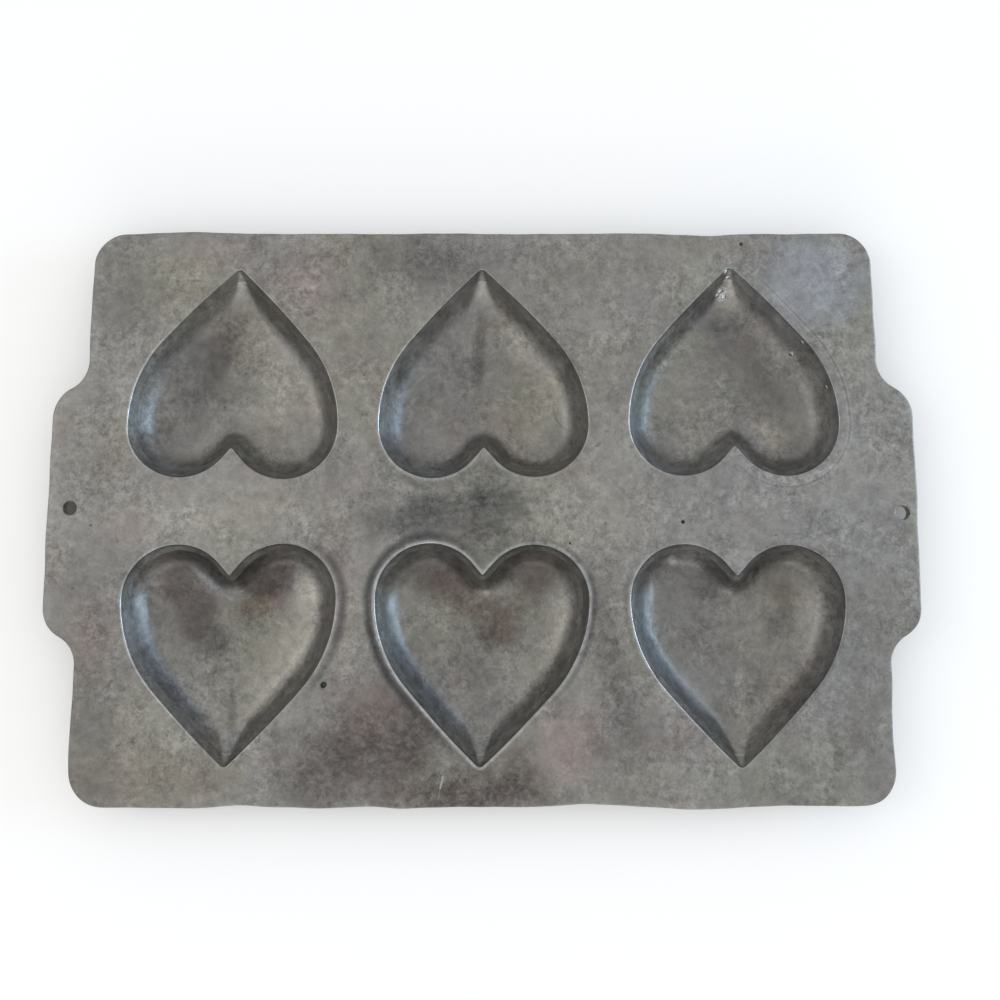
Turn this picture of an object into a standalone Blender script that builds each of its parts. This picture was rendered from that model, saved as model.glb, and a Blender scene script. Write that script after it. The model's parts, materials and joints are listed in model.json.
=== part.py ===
"""Cast aluminium baking tray with heart-shaped cups, in metres, +Z up.

The tray lies flat on the feet of its cups, with the origin under its centre. X runs
from tab to tab and Y across the two rows of cups, whose tips point outwards.
A section of a cup is drawn in two values: the inset from the heart's rim, positive
towards the middle of the cup, and the depth below the plate's top face.
"""
import math

import bmesh
import bpy

MM = 0.001

# Heart outline at the rim: two lobe arcs, two side arcs and straight runs to the tip
LOBE_RADIUS = 20.6 * MM
CLEFT_DEPTH = 12 * MM
CLEFT_RADIUS = 1.4 * MM
SIDE_RADIUS = 49 * MM
TIP_HALF_ANGLE = math.radians(43)
TIP_RADIUS = 2.4 * MM
SHARPEST_RADIUS = 0.4 * MM

# Layout of the cups, and the plate left between and around them
COLUMN_NAMES = ("left", "centre", "right")
COLUMN_WEB = 15.6 * MM
ROW_WEB = 25.2 * MM
END_MARGIN = 15.8 * MM
SIDE_MARGIN = 13.5 * MM

# Plate with a shallow tab on each short end
PLATE_THICKNESS = 4.5 * MM
PLATE_EDGE_RADIUS = 0.8 * MM
CORNER_RADIUS = 12 * MM
TAB_REACH = 13 * MM
TAB_EDGE_LENGTH = 72 * MM
TAB_SHOULDER_RADIUS = 12.5 * MM

# Hanging holes drilled by hand, so the metal left outside them isn't quite the same
HOLE_DIAMETER = 5.3 * MM
LEFT_HOLE_EDGE_WEB = 5.4 * MM
LEFT_HOLE_OFF_CENTRE = 1.0 * MM
RIGHT_HOLE_EDGE_WEB = 2.6 * MM
RIGHT_HOLE_OFF_CENTRE = -1.3 * MM

# Section of a cup
CAVITY_DEPTH = 13 * MM
WALL_DRAFT = math.radians(27)
WALL_THICKNESS = 3.5 * MM
RIM_RADIUS = 0.9 * MM
FLOOR_FILLET_RADIUS = 5.5 * MM
FLOOR_EDGE_SLOPE = math.radians(12)
FLOOR_CORE_RADIUS = 2.6 * MM
ROOT_FILLET_RADIUS = 3 * MM
ROOT_LIP = 0.3 * MM

# Clearance where a cup meets the plate's underside
SEAM_GAP = 0.3 * MM

# How far a cutter runs past the faces that it cuts, and how close two points are one
CUTTER_OVERRUN = 1 * MM
WELD_DISTANCE = 0.01 * MM

# Facets along each stretch of the half outline, of a section and of the plate
TIP_STEPS = 2
STRAIGHT_STEPS = 2
SIDE_STEPS = 4
LOBE_STEPS = 10
CLEFT_STEPS = 2
RIM_STEPS = 2
FILLET_STEPS = 4
FLOOR_STEPS = 3
FOOT_STEPS = 3
ROOT_STEPS = 3
CORNER_STEPS = 6
SHOULDER_STEPS = 5
EDGE_STEPS = 2
HOLE_STEPS = 24
SMOOTH_ANGLE = math.radians(35)

# Bare aluminium gone dull, as in the photograph
ALUMINIUM_COLOUR = (0.30, 0.295, 0.285, 1.0)
ALUMINIUM_ROUGHNESS = 0.48

# Sizes that follow from those above
TRAY_HEIGHT = CAVITY_DEPTH + WALL_THICKNESS
LOBE_X = math.sqrt(CLEFT_DEPTH * (2 * (LOBE_RADIUS + CLEFT_RADIUS) - CLEFT_DEPTH))
HEART_HALF_WIDTH = LOBE_X + LOBE_RADIUS
COLUMN_PITCH = 2 * HEART_HALF_WIDTH + COLUMN_WEB
ROW_OFFSET = ROW_WEB / 2 + LOBE_RADIUS
BODY_HALF_LENGTH = COLUMN_PITCH + HEART_HALF_WIDTH + END_MARGIN
WALL_SLOPE = math.pi / 2 - WALL_DRAFT
FLOOR_REACH = LOBE_RADIUS - FLOOR_CORE_RADIUS


def arc(centre, radius, start, end, steps, first=0):
    """Points along an arc, from the step called first to the last."""
    points = []
    for step in range(first, steps + 1):
        angle = start + (end - start) * step / steps
        points.append((centre[0] + radius * math.cos(angle), centre[1] + radius * math.sin(angle)))
    return points


def straight(start, end, steps):
    """The points between two ends, both left out."""
    points = []
    for step in range(1, steps):
        share = step / steps
        points.append((start[0] + (end[0] - start[0]) * share, start[1] + (end[1] - start[1]) * share))
    return points


def tip_round(inset):
    """Height of the centre of the round at the tip above the lobe line, and its radius."""
    side_radius = SIDE_RADIUS - inset
    end_x = HEART_HALF_WIDTH - SIDE_RADIUS + side_radius * math.cos(TIP_HALF_ANGLE)
    end_y = side_radius * math.sin(TIP_HALF_ANGLE)
    corner = end_y + end_x / math.tan(TIP_HALF_ANGLE)
    radius = max(TIP_RADIUS - inset, SHARPEST_RADIUS)
    return corner - radius / math.sin(TIP_HALF_ANGLE), radius


def heart_half(inset):
    """The right half of the outline, from the tip at +Y to the cleft."""
    tip_y, tip_radius = tip_round(inset)
    tip = arc((0, tip_y), tip_radius, math.pi / 2, TIP_HALF_ANGLE, TIP_STEPS)
    side_centre = (HEART_HALF_WIDTH - SIDE_RADIUS, 0)
    side = arc(side_centre, SIDE_RADIUS - inset, TIP_HALF_ANGLE, 0, SIDE_STEPS)
    lobe_radius = LOBE_RADIUS - inset
    cleft_radius = max(CLEFT_RADIUS + inset, SHARPEST_RADIUS)
    cleft_drop = math.sqrt((lobe_radius + cleft_radius) ** 2 - LOBE_X ** 2)
    cleft_angle = math.atan2(cleft_drop, LOBE_X)
    lobe = arc((LOBE_X, 0), lobe_radius, 0, cleft_angle - math.pi, LOBE_STEPS, first=1)
    cleft = arc((0, -cleft_drop), cleft_radius, cleft_angle, math.pi / 2, CLEFT_STEPS, first=1)
    return tip + straight(tip[-1], side[0], STRAIGHT_STEPS) + side + lobe + cleft


def heart_ring(inset):
    """The whole outline, anticlockwise seen from above, with as many points at any inset."""
    right = heart_half(inset)
    left = [(-x, y) for x, y in right[1:-1]]
    return right[::-1] + left


def wall_inset(depth):
    """Inset of the cavity's drafted wall at a depth."""
    return depth * math.tan(WALL_DRAFT)


def outer_wall_inset(depth):
    return wall_inset(depth) - WALL_THICKNESS / math.cos(WALL_DRAFT)


def slope_arc(centre, radius, start, end, steps):
    """Section points of a fillet whose slope turns from start to end, seen from its hollow side."""
    points = []
    for step in range(steps + 1):
        slope = start + (end - start) * step / steps
        points.append((centre[0] - radius * math.sin(slope), centre[1] + radius * math.cos(slope)))
    return points


def rim_section():
    """The rounded arris between the plate's top face and the cavity's wall."""
    reach = RIM_RADIUS * math.tan(WALL_SLOPE / 2)
    points = []
    for step in range(RIM_STEPS + 1):
        slope = WALL_SLOPE * step / RIM_STEPS
        points.append((-reach + RIM_RADIUS * math.sin(slope), RIM_RADIUS * (1 - math.cos(slope))))
    return points


def floor_section():
    """The fillet at the foot of the cavity's wall and the dished floor, down to the middle."""
    radius = FLOOR_FILLET_RADIUS
    bow = math.tan(FLOOR_EDGE_SLOPE) / 2
    wall_rise = radius * (math.sin(WALL_DRAFT) - math.cos(FLOOR_EDGE_SLOPE))
    wall_run = radius * (math.cos(WALL_DRAFT) - math.sin(FLOOR_EDGE_SLOPE))
    level_inset = wall_inset(CAVITY_DEPTH - FLOOR_REACH * bow + wall_rise) + wall_run
    edge_inset = level_inset / (1 - wall_inset(bow))
    edge_depth = CAVITY_DEPTH - (FLOOR_REACH - edge_inset) * bow
    centre = (
        edge_inset + radius * math.sin(FLOOR_EDGE_SLOPE),
        edge_depth - radius * math.cos(FLOOR_EDGE_SLOPE),
    )
    points = slope_arc(centre, radius, WALL_SLOPE, FLOOR_EDGE_SLOPE, FILLET_STEPS)
    for step in range(1, FLOOR_STEPS + 1):
        inset = edge_inset + (FLOOR_REACH - edge_inset) * step / FLOOR_STEPS
        left = (FLOOR_REACH - inset) / (FLOOR_REACH - edge_inset)
        points.append((inset, CAVITY_DEPTH - (CAVITY_DEPTH - edge_depth) * left ** 2))
    return points


def foot_section():
    """The cup's outside from its flat foot, round the lower edge, to the foot of its wall."""
    radius = FLOOR_FILLET_RADIUS + WALL_THICKNESS
    centre_depth = TRAY_HEIGHT - radius
    wall_end = centre_depth + radius * math.sin(WALL_DRAFT)
    centre = (outer_wall_inset(wall_end) + radius * math.cos(WALL_DRAFT), centre_depth)
    return slope_arc(centre, radius, 0, WALL_SLOPE, FOOT_STEPS)


def root_section():
    """The cup's outside from its wall, through the root fillet, to the seat under the plate."""
    seat_depth = PLATE_THICKNESS + SEAM_GAP
    centre_depth = seat_depth + ROOT_LIP + ROOT_FILLET_RADIUS
    wall_end = centre_depth - ROOT_FILLET_RADIUS * math.sin(WALL_DRAFT)
    centre = (outer_wall_inset(wall_end) - ROOT_FILLET_RADIUS * math.cos(WALL_DRAFT), centre_depth)
    points = slope_arc(centre, -ROOT_FILLET_RADIUS, WALL_SLOPE, 0, ROOT_STEPS)
    return points + [(centre[0], seat_depth), (wall_inset(seat_depth), seat_depth)]


def aperture_section():
    """The heart that is cut through the plate, from under it up to above its top face."""
    low = PLATE_THICKNESS + CUTTER_OVERRUN
    rim = rim_section()
    return [(wall_inset(low), low)] + rim[::-1] + [(rim[0][0], -CUTTER_OVERRUN)]


def loft(name, section):
    """A closed heart-shaped mesh through the rings of a section, capped at both ends."""
    shell = bmesh.new()
    rings = []
    for inset, depth in section:
        ring = [shell.verts.new((x, y, TRAY_HEIGHT - depth)) for x, y in heart_ring(inset)]
        rings.append(ring)
    for ring, following in zip(rings, rings[1:]):
        for index in range(len(ring)):
            after = (index + 1) % len(ring)
            shell.faces.new((ring[index], ring[after], following[after], following[index]))
    shell.faces.new(rings[0][::-1])
    shell.faces.new(rings[-1])
    mesh = bpy.data.meshes.new(name)
    shell.to_mesh(mesh)
    shell.free()
    return mesh


def plate_quarter():
    """The plate's outline from the tab's edge to the long edge, where X and Y are positive."""
    tip_y, tip_radius = tip_round(0)
    body_y = ROW_OFFSET + tip_y + tip_radius + SIDE_MARGIN
    radius = TAB_SHOULDER_RADIUS
    sweep = math.acos(max(1 - TAB_REACH / (2 * radius), 0))
    shoulder_y = TAB_EDGE_LENGTH / 2
    outer = (BODY_HALF_LENGTH + TAB_REACH - radius, shoulder_y)
    inner = (BODY_HALF_LENGTH + radius, shoulder_y + 2 * radius * math.sin(sweep))
    points = arc(outer, radius, 0, sweep, SHOULDER_STEPS)
    points += arc(inner, radius, math.pi + sweep, math.pi, SHOULDER_STEPS, first=1)
    corner = (BODY_HALF_LENGTH - CORNER_RADIUS, body_y - CORNER_RADIUS)
    return points + arc(corner, CORNER_RADIUS, 0, math.pi / 2, CORNER_STEPS)


def plate_outline():
    """The whole outline, anticlockwise seen from above."""
    quarter = plate_quarter()
    rear_left = [(-x, y) for x, y in reversed(quarter)]
    front_left = [(-x, -y) for x, y in quarter]
    front_right = [(x, -y) for x, y in reversed(quarter)]
    return quarter + rear_left + front_left + front_right


def outline_mesh(name, outline, thickness):
    """A flat slab from a filled 2D curve, lying half above and half below its own plane."""
    curve = bpy.data.curves.new(name, "CURVE")
    curve.dimensions = "2D"
    curve.fill_mode = "BOTH"
    curve.extrude = thickness / 2
    spline = curve.splines.new("POLY")
    spline.points.add(len(outline) - 1)
    for point, (x, y) in zip(spline.points, outline):
        point.co = (x, y, 0, 1)
    spline.use_cyclic_u = True
    guide = bpy.data.objects.new(name, curve)
    bpy.context.scene.collection.objects.link(guide)
    depsgraph = bpy.context.evaluated_depsgraph_get()
    mesh = bpy.data.meshes.new_from_object(guide.evaluated_get(depsgraph))
    bpy.data.objects.remove(guide, do_unlink=True)
    shell = bmesh.new()
    shell.from_mesh(mesh)
    bmesh.ops.remove_doubles(shell, verts=shell.verts, dist=WELD_DISTANCE)
    shell.to_mesh(mesh)
    shell.free()
    mesh.name = name
    return mesh


def place(name, mesh, collection, location=(0, 0, 0), turn=0.0):
    item = bpy.data.objects.new(name, mesh)
    collection.objects.link(item)
    item.location = location
    item.rotation_euler = (0, 0, turn)
    return item


def cup_places():
    """Name, location and turn of each cup: the rear tips point to +Y, the front ones to -Y."""
    places = []
    for row, side, turn in (("rear", 1, 0.0), ("front", -1, math.pi)):
        for column, column_name in enumerate(COLUMN_NAMES):
            x = (column - 1) * COLUMN_PITCH
            places.append((f"{row}_{column_name}", (x, side * ROW_OFFSET, 0), turn))
    return places


def hole_places():
    """Name and location of the hole in each tab."""
    reach = BODY_HALF_LENGTH + TAB_REACH - HOLE_DIAMETER / 2
    height = TRAY_HEIGHT - PLATE_THICKNESS / 2
    return [
        ("left", (LEFT_HOLE_EDGE_WEB - reach, LEFT_HOLE_OFF_CENTRE, height)),
        ("right", (reach - RIGHT_HOLE_EDGE_WEB, RIGHT_HOLE_OFF_CENTRE, height)),
    ]


def hole_mesh():
    shell = bmesh.new()
    bmesh.ops.create_cone(
        shell,
        cap_ends=True,
        segments=HOLE_STEPS,
        radius1=HOLE_DIAMETER / 2,
        radius2=HOLE_DIAMETER / 2,
        depth=PLATE_THICKNESS + 2 * CUTTER_OVERRUN,
    )
    mesh = bpy.data.meshes.new("hole_cutter")
    shell.to_mesh(mesh)
    shell.free()
    return mesh


def add_cutter(name, mesh, collection, location, turn=0.0):
    cutter = place(name, mesh, collection, location, turn)
    cutter.hide_render = True
    cutter.display_type = "WIRE"
    return cutter


def add_cutters(collection):
    """One heart through the plate for each cup, and one drill for each hole."""
    heart = loft("aperture_cutter", aperture_section())
    drill = hole_mesh()
    cutters = []
    for name, location, turn in cup_places():
        cutters.append(add_cutter(f"aperture_{name}", heart, collection, location, turn))
    for name, location in hole_places():
        cutters.append(add_cutter(f"hole_{name}", drill, collection, location))
    return cutters


def aluminium(name):
    material = bpy.data.materials.new(name)
    material.use_nodes = True
    shader = material.node_tree.nodes["Principled BSDF"]
    shader.inputs["Base Color"].default_value = ALUMINIUM_COLOUR
    shader.inputs["Metallic"].default_value = 1.0
    shader.inputs["Roughness"].default_value = ALUMINIUM_ROUGHNESS
    return material


def smooth(mesh):
    mesh.shade_smooth()
    mesh.set_sharp_from_angle(angle=SMOOTH_ANGLE)


def add_plate(collection, cutters):
    """The flat plate with its tabs, its worn edges, the heart apertures and the two holes."""
    mesh = outline_mesh("tray_plate", plate_outline(), PLATE_THICKNESS)
    mesh.materials.append(aluminium("plate_aluminium"))
    smooth(mesh)
    plate = place("tray_plate", mesh, collection, (0, 0, TRAY_HEIGHT - PLATE_THICKNESS / 2))
    edge = plate.modifiers.new("worn edges", "BEVEL")
    edge.width = PLATE_EDGE_RADIUS
    edge.segments = EDGE_STEPS
    edge.limit_method = "ANGLE"
    edge.angle_limit = SMOOTH_ANGLE
    for cutter in cutters:
        cut = plate.modifiers.new(cutter.name, "BOOLEAN")
        cut.operation = "DIFFERENCE"
        cut.solver = "EXACT"
        cut.object = cutter
    return plate


def add_cups(collection):
    """The cups under the plate. All share one mesh, and the front row is turned half round."""
    mesh = loft("heart_cup", foot_section() + root_section() + floor_section())
    mesh.materials.append(aluminium("cup_aluminium"))
    smooth(mesh)
    return [
        place(f"heart_cup_{name}", mesh, collection, location, turn)
        for name, location, turn in cup_places()
    ]


def clear_scene():
    for item in list(bpy.data.objects):
        bpy.data.objects.remove(item, do_unlink=True)


def new_collection(name):
    collection = bpy.data.collections.new(name)
    bpy.context.scene.collection.children.link(collection)
    return collection


def build_tray():
    clear_scene()
    pieces = new_collection("heart_baking_tray")
    cutters = add_cutters(new_collection("cutters"))
    frame = bpy.data.objects.new("tray_origin", None)
    pieces.objects.link(frame)
    for piece in [add_plate(pieces, cutters)] + add_cups(pieces):
        piece.parent = frame


build_tray()
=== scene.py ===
"""Finish of a cast aluminium heart baking tray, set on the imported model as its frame.

Each piece is a finer casting that stands for one solid of the frame, in the same place.
A heart's section is written in two lengths: the inset from its rim, positive towards the
middle of the cup, and the depth below the plate's top face. X runs from tab to tab and Y
across the two rows of cups, in metres. Tables of places on the tray are in millimetres.
"""
import json
import math
from functools import partial

import bmesh
import bpy
import numpy as np
from bpy.props import FloatProperty, FloatVectorProperty, IntProperty, PointerProperty
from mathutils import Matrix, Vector
from mathutils.geometry import delaunay_2d_cdt

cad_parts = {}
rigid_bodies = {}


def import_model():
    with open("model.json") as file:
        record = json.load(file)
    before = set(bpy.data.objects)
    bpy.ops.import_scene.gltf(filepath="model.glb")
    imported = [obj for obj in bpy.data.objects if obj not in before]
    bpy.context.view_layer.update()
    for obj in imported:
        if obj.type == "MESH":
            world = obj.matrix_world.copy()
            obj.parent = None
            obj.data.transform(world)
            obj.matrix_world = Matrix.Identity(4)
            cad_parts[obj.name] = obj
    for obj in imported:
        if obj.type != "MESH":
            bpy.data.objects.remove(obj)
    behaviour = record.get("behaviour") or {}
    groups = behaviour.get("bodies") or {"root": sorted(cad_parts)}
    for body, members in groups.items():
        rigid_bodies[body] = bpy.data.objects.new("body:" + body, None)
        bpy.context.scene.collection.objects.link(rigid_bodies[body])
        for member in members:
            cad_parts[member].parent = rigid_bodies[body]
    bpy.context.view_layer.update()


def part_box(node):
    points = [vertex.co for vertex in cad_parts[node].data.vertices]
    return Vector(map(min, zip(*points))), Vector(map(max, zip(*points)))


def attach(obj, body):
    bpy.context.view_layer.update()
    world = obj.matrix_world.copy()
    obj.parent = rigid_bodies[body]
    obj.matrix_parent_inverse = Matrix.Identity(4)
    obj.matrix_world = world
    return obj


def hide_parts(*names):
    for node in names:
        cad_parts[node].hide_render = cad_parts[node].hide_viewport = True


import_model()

bl_info = {
    "name": "Heart Baking Tray",
    "version": (1, 0, 0),
    "blender": (4, 5, 0),
    "location": "3D View > Sidebar > Heart Tray",
    "description": "Builds the finished castings, surface and studio of a heart baking tray",
    "category": "Object",
}

MM = 0.001
BODY = "root"

# Plate as packed: its outline, top face and thickness come from the frame
PLATE_LOW, PLATE_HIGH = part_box("tray_plate")
TOP = PLATE_HIGH.z
PLATE_THICKNESS = PLATE_HIGH.z - PLATE_LOW.z
HALF_WIDTH = PLATE_HIGH.y
TAB_END = PLATE_HIGH.x

# Heart outline at the rim: lobe, side and flank arcs, each tangent to the next, and a V-shaped cleft
LOBE_RADIUS = 20.78 * MM
LOBE_X = 19.69 * MM
CLEFT_RADIUS = 0.6 * MM
CLEFT_ANGLE = math.radians(41)
SIDE_RADIUS = 49.9 * MM
SIDE_SWEEP = math.radians(41.1)
FLANK_RADIUS = 370 * MM
TIP_RADIUS = 2.2 * MM
SHARPEST_RADIUS = 0.4 * MM
TIP_SOFTENING = 1.2
HEART_HALF_WIDTH = LOBE_X + LOBE_RADIUS

# Each heart was set by hand in the pattern: its frame solid, side of the tray, slip in X and Y, and turn
HEARTS = (
    ("rear_left", 1, (-0.27, -0.25), -0.96),
    ("rear_centre", 1, (0.23, -0.14), 0.68),
    ("rear_right", 1, (0.61, 0.39), -0.23),
    ("front_left", -1, (0.36, -0.08), 0.21),
    ("front_centre", -1, (-0.29, -0.19), -0.81),
    ("front_right", -1, (0.06, -0.57), -0.43),
)
ROW_OFFSET = 33.2 * MM

# The raised line runs round one heart, between two insets
PROUD_HEART = "front_centre"
PROUD_BAND = (-0.6 * MM, 0.3 * MM)

# Plate outline: a shallow tab on each short end, and rounded corners
TAB_REACH = 13 * MM
TAB_EDGE_LENGTH = 72 * MM
TAB_SHOULDER_RADIUS = 12.5 * MM
CORNER_RADIUS = 12 * MM
EDGE_ROUND = 0.8 * MM

# Slow wander of the dressed edge: radians per metre along X and along Y, phase, and share of the whole
EDGE_WAVES = ((71, 43, 0.0, 0.45), (163, -209, 1.3, 0.35), (417, 391, 0.4, 0.2))
EDGE_WANDER = 0.25 * MM
EDGE_EXCESS = 0.3 * MM

# Where the edge was left fuller or dressed deeper: a point on it, height and half length
EDGE_SWELLS = (
    ((-112, 108), 1.1, 16), ((-72, 108), 0.4, 18), ((-8, 108), 0.4, 22), ((52, 108), 0.3, 16),
    ((90, 108), -0.5, 8), ((78, -108), 1.2, 14), ((-90, -108), -0.9, 8), ((-58, -108), 0.5, 10),
    ((-30, -108), 0.6, 8), ((38, -108), -0.6, 12), ((-116, -108), 0.4, 14), ((130, -108), 0.2, 16),
    ((-152, -84), 0.5, 14), ((-152, 74), 0.6, 14), ((152, -82), -0.5, 14), ((165, 8), 0.4, 14),
    ((165, -30), -0.3, 8), ((-165, -6), 0.2, 10), ((152, 66), 0.3, 8),
)

# Hanging holes and casting pits: place in X and Y, and radius
HOLES = (((-156.94, 1.0), 2.65), ((159.74, -1.3), 2.65))
HOLE_CHAMFER = 0.25 * MM
PITS = (
    ((-59.3, -64.6), 0.95), ((75.9, -4.6), 0.6), ((101.5, 104.0), 0.55), ((33.0, -12.5), 0.35),
    ((-148.5, -5.5), 0.3),
)

# Section of a pit, as shares of its radius outwards and downwards
PIT_SECTION = ((1.9, 0.0), (1.4, 0.0), (1.1, 0.25), (0.85, 0.9), (0.5, 1.3))
PIT_BOTTOM = 1.4
PIT_ROUGHNESS = 0.12
PIT_PHASE = 1.7

# Facets along each stretch of half a heart, a quarter of the plate, a hole and a pit
TIP_STEPS, FLANK_STEPS, SIDE_STEPS, LOBE_STEPS, NOSE_STEPS, CLEFT_STEPS = 6, 14, 26, 48, 5, 8
TAB_STEPS, SHOULDER_STEPS, END_STEPS, CORNER_STEPS, LONG_STEPS, EDGE_STEPS = 16, 10, 14, 12, 60, 4
HOLE_STEPS, PIT_STEPS = 36, 14
SMOOTH_ANGLE = math.radians(50)

# Lattice of points inside the plate's faces: spacing, height of a row and room left at a rim
TOP_SPACING = 3 * MM
UNDERSIDE_SPACING = 1.3 * TOP_SPACING
ROW_SHARE = 0.866
CLEAR_SHARE = 0.7
MERGE_DISTANCE = 1e-5

# Rings of a casting's section, as insets from the rim
WALL_DRAFT = math.radians(23.5)
SEAM_INSET = 2.3 * MM
RIM_INSETS = [m * MM for m in (-3.4, -2.0, -1.2, -0.8, -0.5, -0.25, 0.0, 0.25, 0.5, 0.9, 1.5)]
CAVITY_INSETS = [m * MM for m in (
    2.6, 3.0, 3.4, 3.8, 4.2, 4.6, 5.0, 5.4, 5.8, 6.2, 6.6, 7.0, 7.5, 8.0, 8.6, 9.3, 10.2, 11.4, 12.8,
    14.4, 16.0)]
OUTSIDE_INSETS = [m * MM for m in (
    -4.4, -3.8, -3.3, -2.8, -2.3, -1.8, -1.2, -0.6, 0.0, 0.7, 1.4, 2.1, 2.8, 3.6, 4.5, 5.5, 6.6, 8.0,
    10.0, 13.0, 16.0)]

# Inside the last ring a cup's floor shrinks towards a point of its middle line
CORE_SHRINKS = (0.88, 0.72, 0.55, 0.38, 0.2)
CORE_Y = 14 * MM
CORE_GAIN = 6 * MM
MIDDLE_INSET = 22 * MM
FAR_INSET = -8 * MM

# Which surface a point is on: one that stays as drawn, a cup's inside or its outside
SURFACE_KEPT, SURFACE_CAVITY, SURFACE_OUTSIDE = 0.0, 1.0, 2.0
MOVED_LIMIT = (SURFACE_KEPT + SURFACE_CAVITY) / 2
OUTSIDE_LIMIT = (SURFACE_CAVITY + SURFACE_OUTSIDE) / 2

# What the section tree takes: sizes that stay as they are, and the names of settings
FIXED_SIZES = {
    "Plate Top": TOP, "Plate Thickness": PLATE_THICKNESS, "Dish Reach": 18 * MM, "Foot Blend": 7 * MM,
    "Root Blend": 3 * MM}
SET_SIZES = (
    "Cup Depth", "Wall Draft", "Outer Draft", "Wall Thickness", "Floor Blend", "Floor Dish", "Rim Round",
    "Swell Height", "Swell Size")
SWELL_GAIN = 4.0

# Lumps of metal left by flaws in the mould: place on the casting in millimetres and size
NODULES = (
    ((95.4, 93.0), 2.0), ((96.8, 91.6), 1.5), ((94.4, 87.0), 2.3), ((95.8, 85.2), 1.9), ((93.2, 85.4), 1.4),
    ((122.0, 61.8), 1.9), ((124.4, 65.2), 1.2), ((133.4, 47.6), 1.3), ((29.2, 68.4), 1.0),
)

# Shape of a lump: radius at size 1, how far its bumps go, and its smallest and largest squatness
LUMP_RADIUS = 0.6 * MM
LUMP_ROUGHNESS, LUMP_PUSH = 0.35, 3.0
LUMP_LEAST, LUMP_MOST = (0.8, 0.8, 0.3), (1.2, 1.2, 0.45)
LUMP_TURN = 6.28

# Noises: size of their patches in metres, or in radii of a lump, then detail, roughness, seed and distortion
NOISES = {
    "lump": (0.8, 2.0, 0.5, 4.0, 0.0),
    "broad film": (0.05, 4.0, 0.6, 0.0, 0.0),
    "cloud": (0.026, 3.0, 0.6, 3.0, 0.0),
    "heat": (0.022, 5.0, 0.65, 9.0, 0.0),
    "contrast": (0.019, 3.0, 0.6, 11.0, 0.0),
    "torn edge": (0.011, 7.0, 0.72, 0.0, 0.0),
    "patches": (0.008, 6.0, 0.68, 0.0, 0.7),
    "wear": (0.006, 4.0, 0.6, 3.0, 0.0),
    "pricks": (0.0036, 4.0, 0.6, 7.0, 0.0),
    "middle": (0.0026, 4.0, 0.65, 0.0, 0.5),
    "strokes": (0.0024, 4.0, 0.7, 5.0, 0.4),
    "flecks": (0.0016, 5.0, 0.78, 13.0, 0.0),
    "fine": (0.0009, 2.0, 0.6, 0.0, 0.0),
}

# What noise is turned into: its level at the start and at the end, and the result at each
SPREADS = {
    "broad film": (0.42, 0.62, 0.0, 1.0),
    "cloud": (0.3, 0.7, 0.92, 1.08),
    "heat": (0.5, 0.7, 0.0, 1.0),
    "contrast": (0.36, 0.64, 0.5, 1.45),
    "patch tone": (0.25, 0.75, 0.8, 1.2),
    "patch gloss": (0.3, 0.7, -0.07, 0.07),
    "wear": (0.35, 0.6, 0.45, 1.0),
    "pricks": (0.66, 0.72, 0.0, 1.0),
    "mottle": (0.25, 0.75, -0.33, 0.33),
    "strokes": (0.34, 0.66, 0.72, 1.26),
    "flecks": (0.36, 0.66, 0.5, 1.5),
}

# Share of the fine and the middle noise in the mottle, and how deep a pinprick is in the grain
FINE_SHARE, MIDDLE_SHARE, PRICK_DEPTH = 0.36, 0.64, 0.6

# Noise is squeezed by these factors where the face was brushed or rubbed one way
BRUSHED, RUBBED = (0.75, 1.05, 1.0), (0.6, 1.1, 1.0)

# Worn metal on a rim: the inset of its middle and its half width
WEAR_INSET, WEAR_WIDTH = 0.12 * MM, 0.7 * MM


def arc(centre, radius, start, end, steps, first=0):
    """Points along an arc, from the step called first to the last."""
    points = []
    for step in range(first, steps + 1):
        angle = start + (end - start) * step / steps
        points.append((centre[0] + radius * math.cos(angle), centre[1] + radius * math.sin(angle)))
    return points


def straight(start, end, steps):
    """The points between two ends, both left out."""
    shares = [step / steps for step in range(1, steps)]
    return [(start[0] + (end[0] - start[0]) * s, start[1] + (end[1] - start[1]) * s) for s in shares]


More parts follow.
